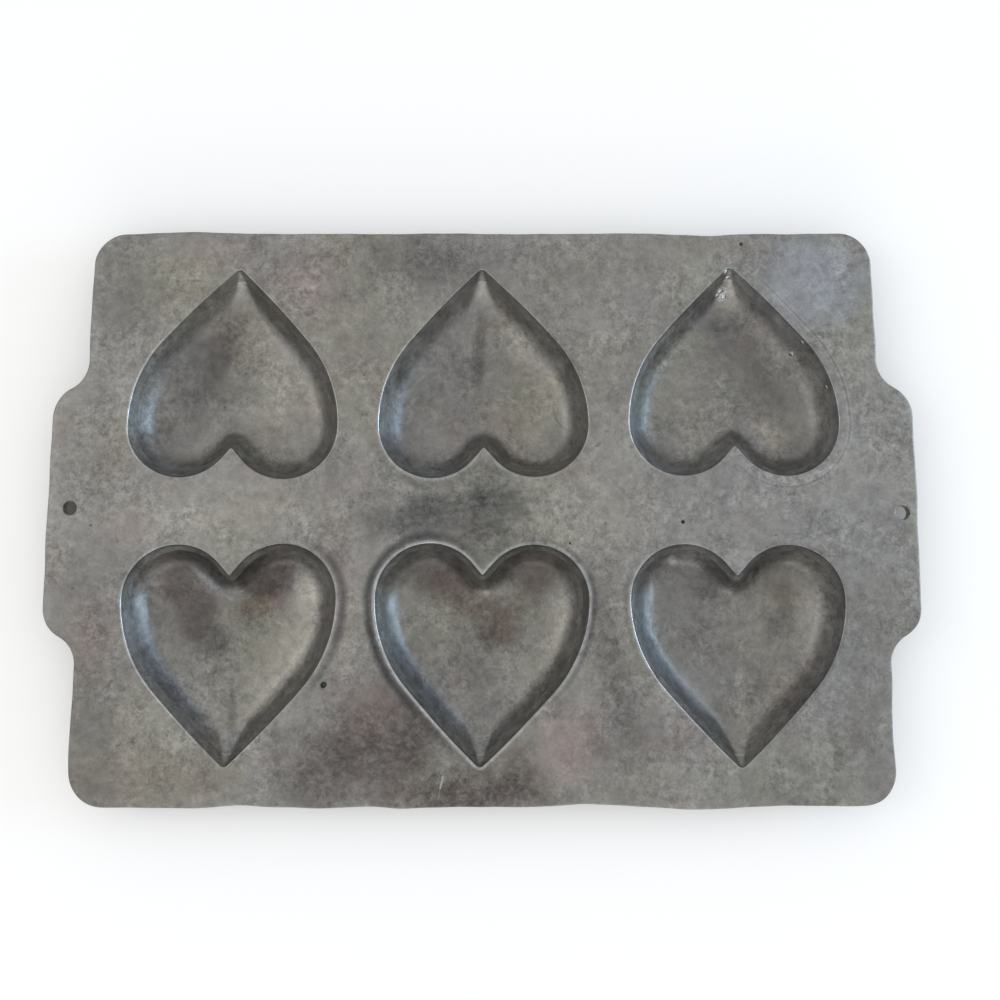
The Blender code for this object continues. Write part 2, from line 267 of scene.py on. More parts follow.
def heart_ring(inset):
    """A heart's outline at an inset, tip at +Y, anticlockwise from the cleft."""
    side_radius, flank_radius, lobe_radius = SIDE_RADIUS - inset, FLANK_RADIUS - inset, LOBE_RADIUS - inset
    reach = SIDE_RADIUS - FLANK_RADIUS
    side_centre = (HEART_HALF_WIDTH - SIDE_RADIUS, 0)
    flank_centre = (side_centre[0] + reach * math.cos(SIDE_SWEEP), reach * math.sin(SIDE_SWEEP))
    tip_radius = max(TIP_RADIUS - inset, SHARPEST_RADIUS + TIP_SOFTENING * max(inset, 0))
    tip_y = flank_centre[1] + math.sqrt((flank_radius - tip_radius) ** 2 - flank_centre[0] ** 2)
    tip_angle = math.atan2(tip_y - flank_centre[1], -flank_centre[0])
    tip = arc((0, tip_y), tip_radius, math.pi / 2, tip_angle, TIP_STEPS)
    flank = arc(flank_centre, flank_radius, tip_angle, SIDE_SWEEP, FLANK_STEPS, first=1)
    side = arc(side_centre, side_radius, SIDE_SWEEP, 0, SIDE_STEPS, first=1)
    lobe = arc((LOBE_X, 0), lobe_radius, 0, CLEFT_ANGLE - math.pi, LOBE_STEPS, first=1)
    cleft_radius = max(CLEFT_RADIUS + inset, SHARPEST_RADIUS)
    c, s = math.cos(CLEFT_ANGLE), math.sin(CLEFT_ANGLE)
    cleft_y = lobe[-1][1] - (cleft_radius - lobe[-1][0] * c) / s
    cleft_start = (cleft_radius * c, cleft_y + cleft_radius * s)
    cleft = arc((0, cleft_y), cleft_radius, CLEFT_ANGLE, math.pi / 2, CLEFT_STEPS)
    right = tip + flank + side + lobe + straight(lobe[-1], cleft_start, NOSE_STEPS) + cleft
    return np.array(right[::-1] + [(-x, y) for x, y in right[1:-1]])


def plate_ring(inset):
    """The plate's outline at an inset, anticlockwise, with the slow wander of a hand-dressed edge."""
    body_x = TAB_END - TAB_REACH
    sweep = math.acos(max(1 - TAB_REACH / (2 * TAB_SHOULDER_RADIUS), 0))
    shoulder_y = TAB_EDGE_LENGTH / 2
    outer = (TAB_END - TAB_SHOULDER_RADIUS, shoulder_y)
    inner = (body_x + TAB_SHOULDER_RADIUS, shoulder_y + 2 * TAB_SHOULDER_RADIUS * math.sin(sweep))
    corner = (body_x - CORNER_RADIUS, HALF_WIDTH - CORNER_RADIUS)
    quarter = straight((TAB_END, 0), (TAB_END, shoulder_y), TAB_STEPS)
    quarter += arc(outer, TAB_SHOULDER_RADIUS, 0, sweep, SHOULDER_STEPS)
    quarter += arc(inner, TAB_SHOULDER_RADIUS, math.pi + sweep, math.pi, SHOULDER_STEPS, first=1)
    quarter += straight(quarter[-1], (body_x, corner[1]), END_STEPS)
    quarter += arc(corner, CORNER_RADIUS, 0, math.pi / 2, CORNER_STEPS)
    quarter += straight((corner[0], HALF_WIDTH), (0, HALF_WIDTH), LONG_STEPS)
    ring = np.array(
        [(TAB_END, 0)] + quarter + [(0, HALF_WIDTH)] + [(-x, y) for x, y in quarter[::-1]]
        + [(-TAB_END, 0)] + [(-x, -y) for x, y in quarter] + [(0, -HALF_WIDTH)]
        + [(x, -y) for x, y in quarter[::-1]])
    along = np.roll(ring, -1, axis=0) - np.roll(ring, 1, axis=0)
    outward = np.stack([along[:, 1], -along[:, 0]], axis=1)
    outward /= np.linalg.norm(outward, axis=1, keepdims=True)
    x, y = ring[:, 0], ring[:, 1]
    wander = sum(np.sin(x * per_x + y * per_y + phase) * share for per_x, per_y, phase, share in EDGE_WAVES)
    reach = wander * EDGE_WANDER + EDGE_EXCESS - inset
    for place, height, length in EDGE_SWELLS:
        away = np.linalg.norm(ring - np.array(place) * MM, axis=1) / (length * MM)
        reach += height * MM * np.exp(-away ** 2)
    return ring + outward * reach[:, None]


def circle(centre, radius, steps, phase=0.0, roughness=0.0):
    """A ring of points in metres round a centre given in millimetres, out of round if rough."""
    points = []
    for step in range(steps):
        angle = 2 * math.pi * step / steps
        wave = math.sin(2 * angle + phase) + 0.6 * math.sin(5 * angle + 2 * phase)
        reach = radius * (1 + roughness * wave)
        points.append((centre[0] * MM + reach * math.cos(angle), centre[1] * MM + reach * math.sin(angle)))
    return np.array(points)


def inside(points, loop):
    """Which points lie inside a closed loop."""
    x, y = points[:, 0, None], points[:, 1, None]
    ax, ay = loop[:, 0], loop[:, 1]
    bx, by = np.roll(ax, -1), np.roll(ay, -1)
    crosses = (ay > y) != (by > y)
    with np.errstate(divide="ignore", invalid="ignore"):
        left_of = x < (bx - ax) * (y - ay) / (by - ay) + ax
    return (crosses & left_of).sum(axis=1) % 2 == 1


def distance_to(points, loop):
    """Distance from each point to the nearest edge of a closed loop."""
    start, end = loop, np.roll(loop, -1, axis=0)
    run = end - start
    offset = points[:, None, :] - start[None]
    share = np.clip((offset * run).sum(axis=2) / (run ** 2).sum(axis=1), 0, 1)
    return np.linalg.norm(offset - share[..., None] * run, axis=2).min(axis=1)


def heart_frame(heart):
    """Middle of a heart's lobe line and its turn: its column in the frame, its row, and its own slip."""
    name, side, slip, turn = heart
    low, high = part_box(f"heart_cup_{name}")
    angle = math.radians(turn) + (0 if side > 0 else math.pi)
    return ((low.x + high.x) / 2 + slip[0] * MM, side * ROW_OFFSET + slip[1] * MM), angle


def set_down(ring, place, angle):
    """A heart's ring moved from its own drawing to its place on the tray."""
    c, s = math.cos(angle), math.sin(angle)
    return ring @ np.array([[c, s], [-s, c]]) + np.array(place)


class Casting:
    """A closed mesh in the making, whose points know their inset and the surface they are on."""

    def __init__(self):
        self.points, self.insets, self.surfaces, self.proud, self.faces = [], [], [], [], []

    def ring(self, flat, z, inset=FAR_INSET, surface=SURFACE_KEPT, proud=0.0):
        """Adds a ring of points and returns their numbers."""
        first = len(self.points)
        insets = np.broadcast_to(inset, len(flat))
        self.points += [(x, y, z) for x, y in flat]
        self.insets += [float(i) for i in insets]
        self.surfaces += [surface] * len(flat)
        self.proud += [proud] * len(flat)
        return list(range(first, first + len(flat)))

    def bridge(self, rings):
        """Joins each ring to the next with a strip of faces."""
        for ring, following in zip(rings, rings[1:]):
            for index in range(len(ring)):
                after = (index + 1) % len(ring)
                self.faces.append((ring[index], ring[after], following[after], following[index]))

    def close(self, ring, z, inset, surface):
        """Fills a ring with a fan of triangles round its middle."""
        middle = np.mean([self.points[i][:2] for i in ring], axis=0)
        centre = self.ring([middle], z, inset, surface)[0]
        for index, number in enumerate(ring):
            self.faces.append((number, ring[(index + 1) % len(ring)], centre))

    def fill(self, outline, openings, loose):
        """Triangulates the flat face between an outline and its openings, through loose points."""
        loops = [outline] + openings
        numbers = [number for loop in loops for number in loop] + list(loose)
        flat = np.array([self.points[number][:2] for number in numbers]) / MM
        starts = np.cumsum([0] + [len(loop) for loop in loops])
        edges = []
        for start, loop in zip(starts, loops):
            edges += [(int(start) + i, int(start) + (i + 1) % len(loop)) for i in range(len(loop))]
        made = delaunay_2d_cdt([Vector(p) for p in flat], edges, [], 0, MERGE_DISTANCE)
        corners, triangles, sources = np.array([tuple(v) for v in made[0]]), made[2], made[3]
        middles = corners[np.array(triangles)].mean(axis=1)
        keep = sum(inside(middles, flat[a:b]).astype(int) for a, b in zip(starts, starts[1:]))
        for triangle, count in zip(triangles, keep):
            if count == 1:
                self.faces.append(tuple(numbers[sources[corner][0]] for corner in triangle))

    def mesh(self, name):
        mesh = bpy.data.meshes.new(name)
        mesh.from_pydata(self.points, [], self.faces)
        for label, values in (("inset", self.insets), ("surface", self.surfaces), ("proud", self.proud)):
            stored = mesh.attributes.new(label, "FLOAT", "POINT").data
            stored.foreach_set("value", np.array(values, np.float32))
        shell = bmesh.new()
        shell.from_mesh(mesh)
        bmesh.ops.recalc_face_normals(shell, faces=shell.faces)
        shell.to_mesh(mesh)
        shell.free()
        return mesh


def face_points(outline, openings, spacing):
    """A triangular lattice inside an outline, clear of it and of its openings."""
    rows = int(2 * HALF_WIDTH / (spacing * ROW_SHARE)) + 2
    columns = int(2 * TAB_END / spacing) + 2
    lattice = [((column + 0.5 * (row % 2)) * spacing - TAB_END, row * spacing * ROW_SHARE - HALF_WIDTH)
               for row in range(rows) for column in range(columns)]
    points = np.array(lattice)
    points = points[inside(points, outline)]
    for loop in [outline] + openings:
        centre = loop.mean(axis=0)
        reach = np.linalg.norm(loop - centre, axis=1).max()
        near = np.linalg.norm(points - centre, axis=1) < reach + spacing
        far_enough = np.ones(len(points), bool)
        far_enough[near] = distance_to(points[near], loop) > CLEAR_SHARE * spacing
        if loop is not outline:
            far_enough[near] &= ~inside(points[near], loop)
        points = points[far_enough]
    return points


def live(sockets, name):
    """The socket of that name that is in use, or the one of that number."""
    if isinstance(name, int):
        return sockets[name]
    return next(socket for socket in sockets if socket.enabled and socket.name == name)


def feed(tree, socket, value):
    """Links a socket to an output, or sets its plain value."""
    if isinstance(value, bpy.types.NodeSocket):
        tree.links.new(value, socket)
    else:
        socket.default_value = value


def add(tree, kind, inputs=None, **settings):
    """A new node with its settings, and each input given a value or a link."""
    node = tree.nodes.new(kind)
    for name, value in settings.items():
        setattr(node, name, value)
    for name, value in (inputs or {}).items():
        feed(tree, live(node.inputs, name), value)
    return node


def maths(tree, operation, *values, clamp=False):
    node = add(tree, "ShaderNodeMath", dict(enumerate(values)), operation=operation, use_clamp=clamp)
    return node.outputs[0]


def vectors(tree, operation, *values):
    """A vector calculation. Its result is a plain number where the operation gives one."""
    node = add(tree, "ShaderNodeVectorMath", dict(enumerate(values)), operation=operation)
    return next(socket for socket in node.outputs if socket.enabled)


def scaled(tree, vector, factor):
    node = add(tree, "ShaderNodeVectorMath", {0: vector, "Scale": factor}, operation="SCALE")
    return live(node.outputs, "Vector")


def ramp(tree, value, start, end, low=0.0, high=1.0):
    """A value carried smoothly from one range to another."""
    inputs = {"Value": value, "From Min": start, "From Max": end, "To Min": low, "To Max": high}
    return add(tree, "ShaderNodeMapRange", inputs, interpolation_type="SMOOTHSTEP").outputs[0]


def noise(tree, kind, position, seed=0.0):
    """A noise of the table, which may have a seed of its own."""
    size, detail, roughness, seed_shift, distortion = NOISES[kind]
    node = add(tree, "ShaderNodeTexNoise", {
        "Vector": position, "W": maths(tree, "ADD", seed, seed_shift), "Scale": 1 / size, "Detail": detail,
        "Roughness": roughness, "Distortion": distortion}, noise_dimensions="4D")
    return node.outputs[0]


def spread(tree, kind, value):
    """A noise carried to the range that the table gives for its kind."""
    return ramp(tree, value, *SPREADS[kind])


def blend(tree, factor, base, over):
    node = add(tree, "ShaderNodeMix", {"Factor": factor, "A": base, "B": over}, data_type="RGBA")
    return live(node.outputs, "Result")


def own_value(tree, name, data_type="FLOAT"):
    """A value that each point of a piece carries, read in Geometry Nodes."""
    node = add(tree, "GeometryNodeInputNamedAttribute", {"Name": name}, data_type=data_type)
    return live(node.outputs, "Attribute")


def new_group(name, kind, inputs, outputs, output_kind="Float"):
    """A node group with named sockets, and its input and output nodes."""
    tree = bpy.data.node_groups.new(name, kind)
    for label, socket, *value in inputs:
        item = tree.interface.new_socket(label, in_out="INPUT", socket_type=f"NodeSocket{socket}")
        if value:
            item.default_value = value[0]
    for label in outputs:
        tree.interface.new_socket(label, in_out="OUTPUT", socket_type=f"NodeSocket{output_kind}")
    return tree, tree.nodes.new("NodeGroupInput").outputs, tree.nodes.new("NodeGroupOutput").inputs


def dress(tree, geometry, material, out):
    """Ends a Geometry Nodes tree with real geometry in its material."""
    real = add(tree, "GeometryNodeRealizeInstances", {"Geometry": geometry})
    dressed = add(tree, "GeometryNodeSetMaterial", {"Geometry": real.outputs[0], "Material": material})
    feed(tree, out["Geometry"], dressed.outputs[0])


def section_values(shape, material):
    """What the section tree takes, under the names of its inputs."""
    settings = {label: getattr(shape, label.lower().replace(" ", "_")) for label in SET_SIZES}
    return {**FIXED_SIZES, **settings, "Seed": shape.seed, "Material": material}


def section_tree():
    """Geometry Nodes that give flat rings their depth from their inset, and a casting its slow swell."""
    sockets = [("Geometry", "Geometry"), ("Seed", "Int"), ("Material", "Material")]
    sockets += [(label, "Float") for label in (*FIXED_SIZES, *SET_SIZES)]
    tree, given, out = new_group("Cast Heart Section", "GeometryNodeTree", sockets, ["Geometry"], "Geometry")
    calc = partial(maths, tree)
    inset, surface = own_value(tree, "inset"), own_value(tree, "surface")

    wall = calc("DIVIDE", inset, calc("TANGENT", given["Wall Draft"]))
    short = calc("DIVIDE", calc("SUBTRACT", given["Dish Reach"], inset), given["Dish Reach"])
    rise = calc("MULTIPLY", given["Floor Dish"], calc("POWER", calc("MAXIMUM", short, 0.0), 2.0))
    floor = calc("SUBTRACT", given["Cup Depth"], rise)
    cavity = calc("SMOOTH_MIN", wall, floor, given["Floor Blend"])
    cavity = calc("SMOOTH_MAX", cavity, 0.0, given["Rim Round"])

    slant = calc("DIVIDE", given["Wall Thickness"], calc("COSINE", given["Outer Draft"]))
    outer_wall = calc("DIVIDE", calc("ADD", inset, slant), calc("TANGENT", given["Outer Draft"]))
    metal = calc("SUBTRACT", given["Wall Thickness"], given["Swell Height"])
    foot = calc("ADD", given["Cup Depth"], metal)
    outside = calc("SMOOTH_MIN", outer_wall, foot, given["Foot Blend"])
    outside = calc("SMOOTH_MAX", outside, given["Plate Thickness"], given["Root Blend"])

    is_outside = calc("GREATER_THAN", surface, OUTSIDE_LIMIT)
    depth = calc("ADD", cavity, calc("MULTIPLY", calc("SUBTRACT", outside, cavity), is_outside))
    height = calc("ADD", calc("SUBTRACT", given["Plate Top"], depth), own_value(tree, "proud"))
    position = tree.nodes.new("GeometryNodeInputPosition").outputs[0]
    place = add(tree, "ShaderNodeSeparateXYZ", {0: position}).outputs
    risen = add(tree, "ShaderNodeCombineXYZ", {"X": place[0], "Y": place[1], "Z": height})
    shaped = add(tree, "GeometryNodeSetPosition", {
        "Geometry": given["Geometry"], "Selection": calc("GREATER_THAN", surface, MOVED_LIMIT),
        "Position": risen.outputs[0]})

    plan = add(tree, "ShaderNodeCombineXYZ", {"X": place[0], "Y": place[1]})
    swell = add(tree, "ShaderNodeTexNoise", {
        "Vector": plan.outputs[0], "W": given["Seed"], "Scale": calc("DIVIDE", 1.0, given["Swell Size"]),
        "Detail": 1.0}, noise_dimensions="4D")
    centred = vectors(tree, "SUBTRACT", live(swell.outputs, "Color"), (0.5, 0.5, 0.5))
    shift = scaled(tree, centred, calc("MULTIPLY", given["Swell Height"], SWELL_GAIN))
    swollen = add(tree, "GeometryNodeSetPosition", {"Geometry": shaped.outputs[0], "Offset": shift})
    dress(tree, swollen.outputs[0], given["Material"], out)
    return tree


def nodule_tree():
    """Geometry Nodes that cast small lumps of metal on to given points, each with its own size and turn."""
    tree, given, out = new_group("Casting Nodules", "GeometryNodeTree", [
        ("Geometry", "Geometry"), ("Lump Radius", "Float", LUMP_RADIUS),
        ("Roughness", "Float", LUMP_ROUGHNESS), ("Seed", "Int"), ("Material", "Material")],
        ["Geometry"], "Geometry")
    calc = partial(maths, tree)

    def random_vector(low, high):
        node = add(tree, "FunctionNodeRandomValue", {"Min": low, "Max": high, "Seed": given["Seed"]},
                   data_type="FLOAT_VECTOR")
        return live(node.outputs, "Value")

    ball = add(tree, "GeometryNodeMeshIcoSphere", {"Radius": 1.0, "Subdivisions": 3})
    bumps = noise(tree, "lump", tree.nodes.new("GeometryNodeInputPosition").outputs[0])
    push = calc("MULTIPLY", calc("SUBTRACT", bumps, 0.5), given["Roughness"])
    normal = tree.nodes.new("GeometryNodeInputNormal").outputs[0]
    offset = scaled(tree, normal, calc("MULTIPLY", push, LUMP_PUSH))
    lump = add(tree, "GeometryNodeSetPosition", {"Geometry": ball.outputs[0], "Offset": offset})
    smooth = add(tree, "GeometryNodeSetShadeSmooth", {"Geometry": lump.outputs[0]})

    points = add(tree, "GeometryNodeMeshToPoints", {"Mesh": given["Geometry"]})
    turn, lean = random_vector((0, 0, 0), (0, 0, LUMP_TURN)), own_value(tree, "lean", "FLOAT_VECTOR")
    upright = add(tree, "FunctionNodeAlignRotationToVector", {"Rotation": turn, "Vector": lean}, axis="Z")
    reach = calc("MULTIPLY", own_value(tree, "size"), given["Lump Radius"])
    squat = scaled(tree, random_vector(LUMP_LEAST, LUMP_MOST), reach)
    placed = add(tree, "GeometryNodeInstanceOnPoints", {
        "Points": points.outputs[0], "Instance": smooth.outputs[0], "Rotation": upright.outputs[0],
        "Scale": squat})
    dress(tree, placed.outputs[0], given["Material"], out)
    return tree


def run_tree(item, tree, values):
    """Runs a Geometry Nodes tree on a piece with named values, and keeps the result as plain mesh."""
    modifier = item.modifiers.new(tree.name, "NODES")
    modifier.node_group = tree
    for socket in tree.interface.items_tree:
        if socket.item_type == "SOCKET" and socket.in_out == "INPUT" and socket.name in values:
            modifier[socket.identifier] = values[socket.name]
    bpy.context.view_layer.update()
    depsgraph = bpy.context.evaluated_depsgraph_get()
    mesh = bpy.data.meshes.new_from_object(
        item.evaluated_get(depsgraph), preserve_all_data_layers=True, depsgraph=depsgraph)
    item.modifiers.clear()
    item.data = mesh
    mesh.name = item.name
    if not mesh.polygons:
        raise RuntimeError(f"{item.name} came out empty")


def new_piece(name, mesh):
    item = bpy.data.objects.new(name, mesh)
    bpy.context.scene.collection.objects.link(item)
    return item


def cast_piece(mesh, values):
    """A casting from its flat rings, with its section worked out, smooth but for its sharp edges."""
    item = new_piece(mesh.name, mesh)
    run_tree(item, bpy.data.node_groups.get("Cast Heart Section") or section_tree(), values)
    item.data.shade_smooth()
    item.data.set_sharp_from_angle(angle=SMOOTH_ANGLE)
    return item


def rim_rings(cast, heart, proud_rim):
    """The plate's rolled rim round a heart, from the flat face to the seam, and its outlines."""
    place, angle = heart_frame(heart)
    outlines, rings = [], []
    for inset in RIM_INSETS + [SEAM_INSET]:
        proud = proud_rim if heart[0] == PROUD_HEART and PROUD_BAND[0] < inset < PROUD_BAND[1] else 0.0
        outlines.append(set_down(heart_ring(inset), place, angle))
        rings.append(cast.ring(outlines[-1], TOP, inset, SURFACE_CAVITY, proud))
    cast.bridge(rings)
    return rings, outlines


def hole_rings(cast, centre, radius):
    """A drilled hole with a small chamfer at its mouth, and its outlines above and below."""
    border = circle(centre, radius * MM + 3 * HOLE_CHAMFER, HOLE_STEPS)
    mouth = circle(centre, radius * MM + HOLE_CHAMFER, HOLE_STEPS)
    bore = circle(centre, radius * MM, HOLE_STEPS)
    heights = ((border, TOP), (mouth, TOP), (bore, TOP - HOLE_CHAMFER), (bore, PLATE_LOW.z))
    rings = [cast.ring(outline, z) for outline, z in heights]
    cast.bridge(rings)
    return rings, [border, bore]


def pit_rings(cast, number, centre, radius):
    """A small ragged pit in the top face, closed at its bottom, and its outlines."""
    outlines = [circle(centre, radius * share * MM, PIT_STEPS, PIT_PHASE * number, PIT_ROUGHNESS)
                for share, _ in PIT_SECTION]
    rings = [cast.ring(outline, TOP - sink * radius * MM)
             for outline, (_, sink) in zip(outlines, PIT_SECTION)]
    cast.bridge(rings)
    cast.close(rings[-1], TOP - PIT_BOTTOM * radius * MM, FAR_INSET, SURFACE_KEPT)
    return rings, outlines


def plate_mesh(proud_rim):
    """The plate: top face with its rims and pits, rolled edge, underside and drilled holes."""
    cast = Casting()
    angles = [math.pi / 2 * step / EDGE_STEPS for step in range(EDGE_STEPS + 1)]
    edge = [(EDGE_ROUND * (1 - math.sin(angle)), EDGE_ROUND * (1 - math.cos(angle))) for angle in angles]
    upper = [cast.ring(plate_ring(inset), TOP - drop) for inset, drop in edge]
    lower = [cast.ring(plate_ring(inset), PLATE_LOW.z + drop) for inset, drop in edge[::-1]]
    cast.bridge(upper + lower)
    hearts = [rim_rings(cast, heart, proud_rim) for heart in HEARTS]
    holes = [hole_rings(cast, centre, radius) for centre, radius in HOLES]
    pits = [pit_rings(cast, number, centre, radius) for number, (centre, radius) in enumerate(PITS)]

    outline = plate_ring(EDGE_ROUND)
    loose = face_points(outline, [outlines[0] for _, outlines in hearts + holes + pits], TOP_SPACING)
    insets = np.full(len(loose), -1.0)
    for _, outlines in hearts:
        insets = np.maximum(insets, -distance_to(loose, outlines[RIM_INSETS.index(0.0)]))
    cast.fill(upper[0], [rings[0] for rings, _ in hearts + holes + pits], cast.ring(loose, TOP, insets))
    loose = face_points(outline, [outlines[-1] for _, outlines in hearts + holes], UNDERSIDE_SPACING)
    cast.fill(lower[-1], [rings[-1] for rings, _ in hearts + holes], cast.ring(loose, PLATE_LOW.z))
    return cast.mesh("tray_plate_cast")


def cup_mesh(heart):
    """A cup below the plate: cavity and outside as flat rings that meet at the seam."""
    cast = Casting()
    place, angle = heart_frame(heart)
    starts = []
    walls = ((OUTSIDE_INSETS, SURFACE_OUTSIDE), ([SEAM_INSET] + CAVITY_INSETS, SURFACE_CAVITY))
    for insets, surface in walls:
        rings = [cast.ring(set_down(heart_ring(inset), place, angle), TOP, inset, surface)
                 for inset in insets]
        core = heart_ring(insets[-1]) - (0, CORE_Y)
        for shrink in CORE_SHRINKS:
            flat = set_down(core * shrink + (0, CORE_Y), place, angle)
            rings.append(cast.ring(flat, TOP, insets[-1] + (1 - shrink) * CORE_GAIN, surface))
        cast.bridge(rings)
        cast.close(rings[-1], TOP, MIDDLE_INSET, surface)
        starts.append(rings[0])
    cast.bridge(starts)
    return cast.mesh(f"heart_cup_{heart[0]}_cast")


def length_setting(label, about, default, **more):
    return FloatProperty(name=label, description=about, default=default, unit="LENGTH", **more)


def angle_setting(label, about, default):
    return FloatProperty(name=label, description=about, default=default, subtype="ANGLE")


def colour_setting(label, about, default):
    return FloatVectorProperty(name=label, description=about, default=default, subtype="COLOR", size=3)


def share_setting(label, about, default):
    return FloatProperty(name=label, description=about, default=default, min=0, max=1, subtype="FACTOR")


def power_setting(label, about, default):
    return FloatProperty(name=label, description=about, default=default, min=0, unit="POWER")


class HeartTrayShape(bpy.types.PropertyGroup):
    """Sizes of the castings that a user would change."""

    cup_depth: length_setting("Cup Depth", "Depth of a cup's floor below the plate's top face", 0.013)
    wall_draft: angle_setting("Wall Draft", "Lean of a cup's inner wall from upright", WALL_DRAFT)
    outer_draft: angle_setting("Outer Draft", "Lean of a cup's outer wall from upright", math.radians(27))
    wall_thickness: length_setting("Wall Thickness", "Thickness of the metal round a cup", 0.0035)
    floor_blend: length_setting("Floor Blend", "How softly a wall runs into its floor", 0.015)
    floor_dish: length_setting("Floor Dish", "How far the floor rises from its middle to the wall", 0.0037)
    rim_round: length_setting("Rim Round", "How softly the plate rolls into a cup", 0.0005)
    proud_rim: length_setting("Proud Rim", "Height of the raised line round the front centre heart", 0.00022)
    swell_height: length_setting("Swell Height", "Height of the casting's slow unevenness", 0.00012)
    swell_size: length_setting("Swell Size", "Breadth of the casting's slow unevenness", 0.028)
    seed: IntProperty(name="Seed", description="Start of the unevenness, the same each time", default=5)


class HeartTrayFinish(bpy.types.PropertyGroup):
    """Colours and gloss of the old cast aluminium, some of which also serve as painted light and shade."""

    metal: colour_setting("Metal", "Dull cast aluminium", (0.228, 0.224, 0.214))
    # Set darker than the plate's metal: painted shade inside the cups
    cup_metal: colour_setting("Cup Metal", "Aluminium inside the cups", (0.198, 0.195, 0.188))
    worn: colour_setting("Worn Metal", "Bright metal on worn rims and edges", (0.36, 0.37, 0.385))
    # Burnt-on dirt, and also painted shade on the cups' right walls, lobe rims and lobe tops
    grime: colour_setting("Grime", "Burnt-on dirt", (0.075, 0.073, 0.07))
    heat_stain: colour_setting("Heat Stain", "Pink-brown heat colour", (0.2, 0.16, 0.15))
    oil_stain: colour_setting("Oil Stain", "Yellow-green film of old fat", (0.242, 0.236, 0.19))
    soot: colour_setting("Soot", "Black dirt caught against the proud rim", (0.045, 0.047, 0.05))
    # Burnt fat, and also painted shade on the front cups' darker lobe tops
    smoke: colour_setting("Smoke", "Purple-brown burnt fat", (0.072, 0.058, 0.055))
    # Metal rubbed pale on the plate, and also painted light on the cups' paler right floors, feet, lobes and
    # tips
    scoured: colour_setting("Scoured Metal", "Metal rubbed pale", (0.32, 0.307, 0.272))
    # Real flaws, and also painted highlights: the small spots, light left walls, bright left rims and pale
    # upper walls in the cups
    bright: colour_setting("Bright Metal", "Polished spots and flaws", (0.6, 0.62, 0.64))
    # Cleaner metal on the plate, and also painted bluish window light on the rear cups' walls and a painted
    # reflection beside the front left cleft
    cool_metal: colour_setting("Cool Metal", "Cleaner, bluish metal", (0.282, 0.298, 0.324))
    roughness: share_setting("Roughness", "Roughness of the cast face", 0.5)
    worn_roughness: share_setting("Worn Roughness", "Roughness of worn metal", 0.24)
    metal_share: share_setting("Metal Share", "How much bare metal shows through burnt-on film", 0.96)
    grain_height: length_setting("Grain Height", "Depth of the sand grain", 0.00008, precision=5)


class HeartTrayStage(bpy.types.PropertyGroup):
    """Studio light, floor and camera."""

    floor_colour: colour_setting("Floor", "Colour of the floor", (0.86, 0.86, 0.86))
    floor_lift: FloatProperty(
        name="Floor Lift", description="How much paler the floor is where it is seen or reflected",
        default=0.11, min=0)
    # Painted shade: the grey of the floor in shadow under the left hole, three times paler under the right
    hole_shade_colour: colour_setting("Mat", "Colour of what shows through the left hole", (0.132, 0.129, 0.126))
    sky_level: FloatProperty(name="Sky Level", description="Strength of the even light", default=0.9, min=0)
    window_power: power_setting("Window Power", "Power of the cool lamp on the right", 5.2)
    ceiling_power: power_setting("Ceiling Power", "Power of the warm lamp high on the left", 1.4)
    fill_power: power_setting("Fill Power", "Power of the weak lamp in front", 1.6)


def patch_group():
    """Shader nodes for one soft patch, used for stains and for painted light and shade: an oval with a ragged
    edge, at half strength at its half size.
    """
    tree, given, out = new_group("Stain Patch", "ShaderNodeTree", [
        ("Position", "Vector"), ("Centre", "Vector"), ("Half Size", "Vector"), ("Turn", "Float"),
        ("Raggedness", "Float"), ("Softness", "Float")], ["Mask"])
    calc = partial(maths, tree)
    offset = vectors(tree, "SUBTRACT", given["Position"], given["Centre"])
    turned = add(tree, "ShaderNodeVectorRotate", {
        "Vector": offset, "Angle": calc("MULTIPLY", given["Turn"], -1.0)}, rotation_type="Z_AXIS")
    reach = vectors(tree, "LENGTH", vectors(tree, "DIVIDE", turned.outputs[0], given["Half Size"]))
    ragged = calc("SUBTRACT", noise(tree, "torn edge", given["Position"]), 0.5)
    torn = calc("ADD", reach, calc("MULTIPLY", calc("MULTIPLY", ragged, 2.0), given["Raggedness"]))
    outer, inner = calc("ADD", 1.0, given["Softness"]), calc("SUBTRACT", 1.0, given["Softness"])
    feed(tree, out["Mask"], ramp(tree, torn, outer, inner))
    return tree


def line_group():
    """Shader nodes for one straight mark, from one point to another."""
    tree, given, out = new_group("Line Mark", "ShaderNodeTree", [
        ("Position", "Vector"), ("From", "Vector"), ("To", "Vector"), ("Width", "Float")], ["Mask"])
    flat = vectors(tree, "MULTIPLY", given["Position"], (1, 1, 0))
    run = vectors(tree, "SUBTRACT", given["To"], given["From"])
    offset = vectors(tree, "SUBTRACT", flat, given["From"])
    share = maths(tree, "DIVIDE", vectors(tree, "DOT_PRODUCT", offset, run),
                  vectors(tree, "DOT_PRODUCT", run, run), clamp=True)
    aside = vectors(tree, "LENGTH", vectors(tree, "SUBTRACT", offset, scaled(tree, run, share)))
    feed(tree, out["Mask"], ramp(tree, aside, given["Width"], 0.0))
    return tree


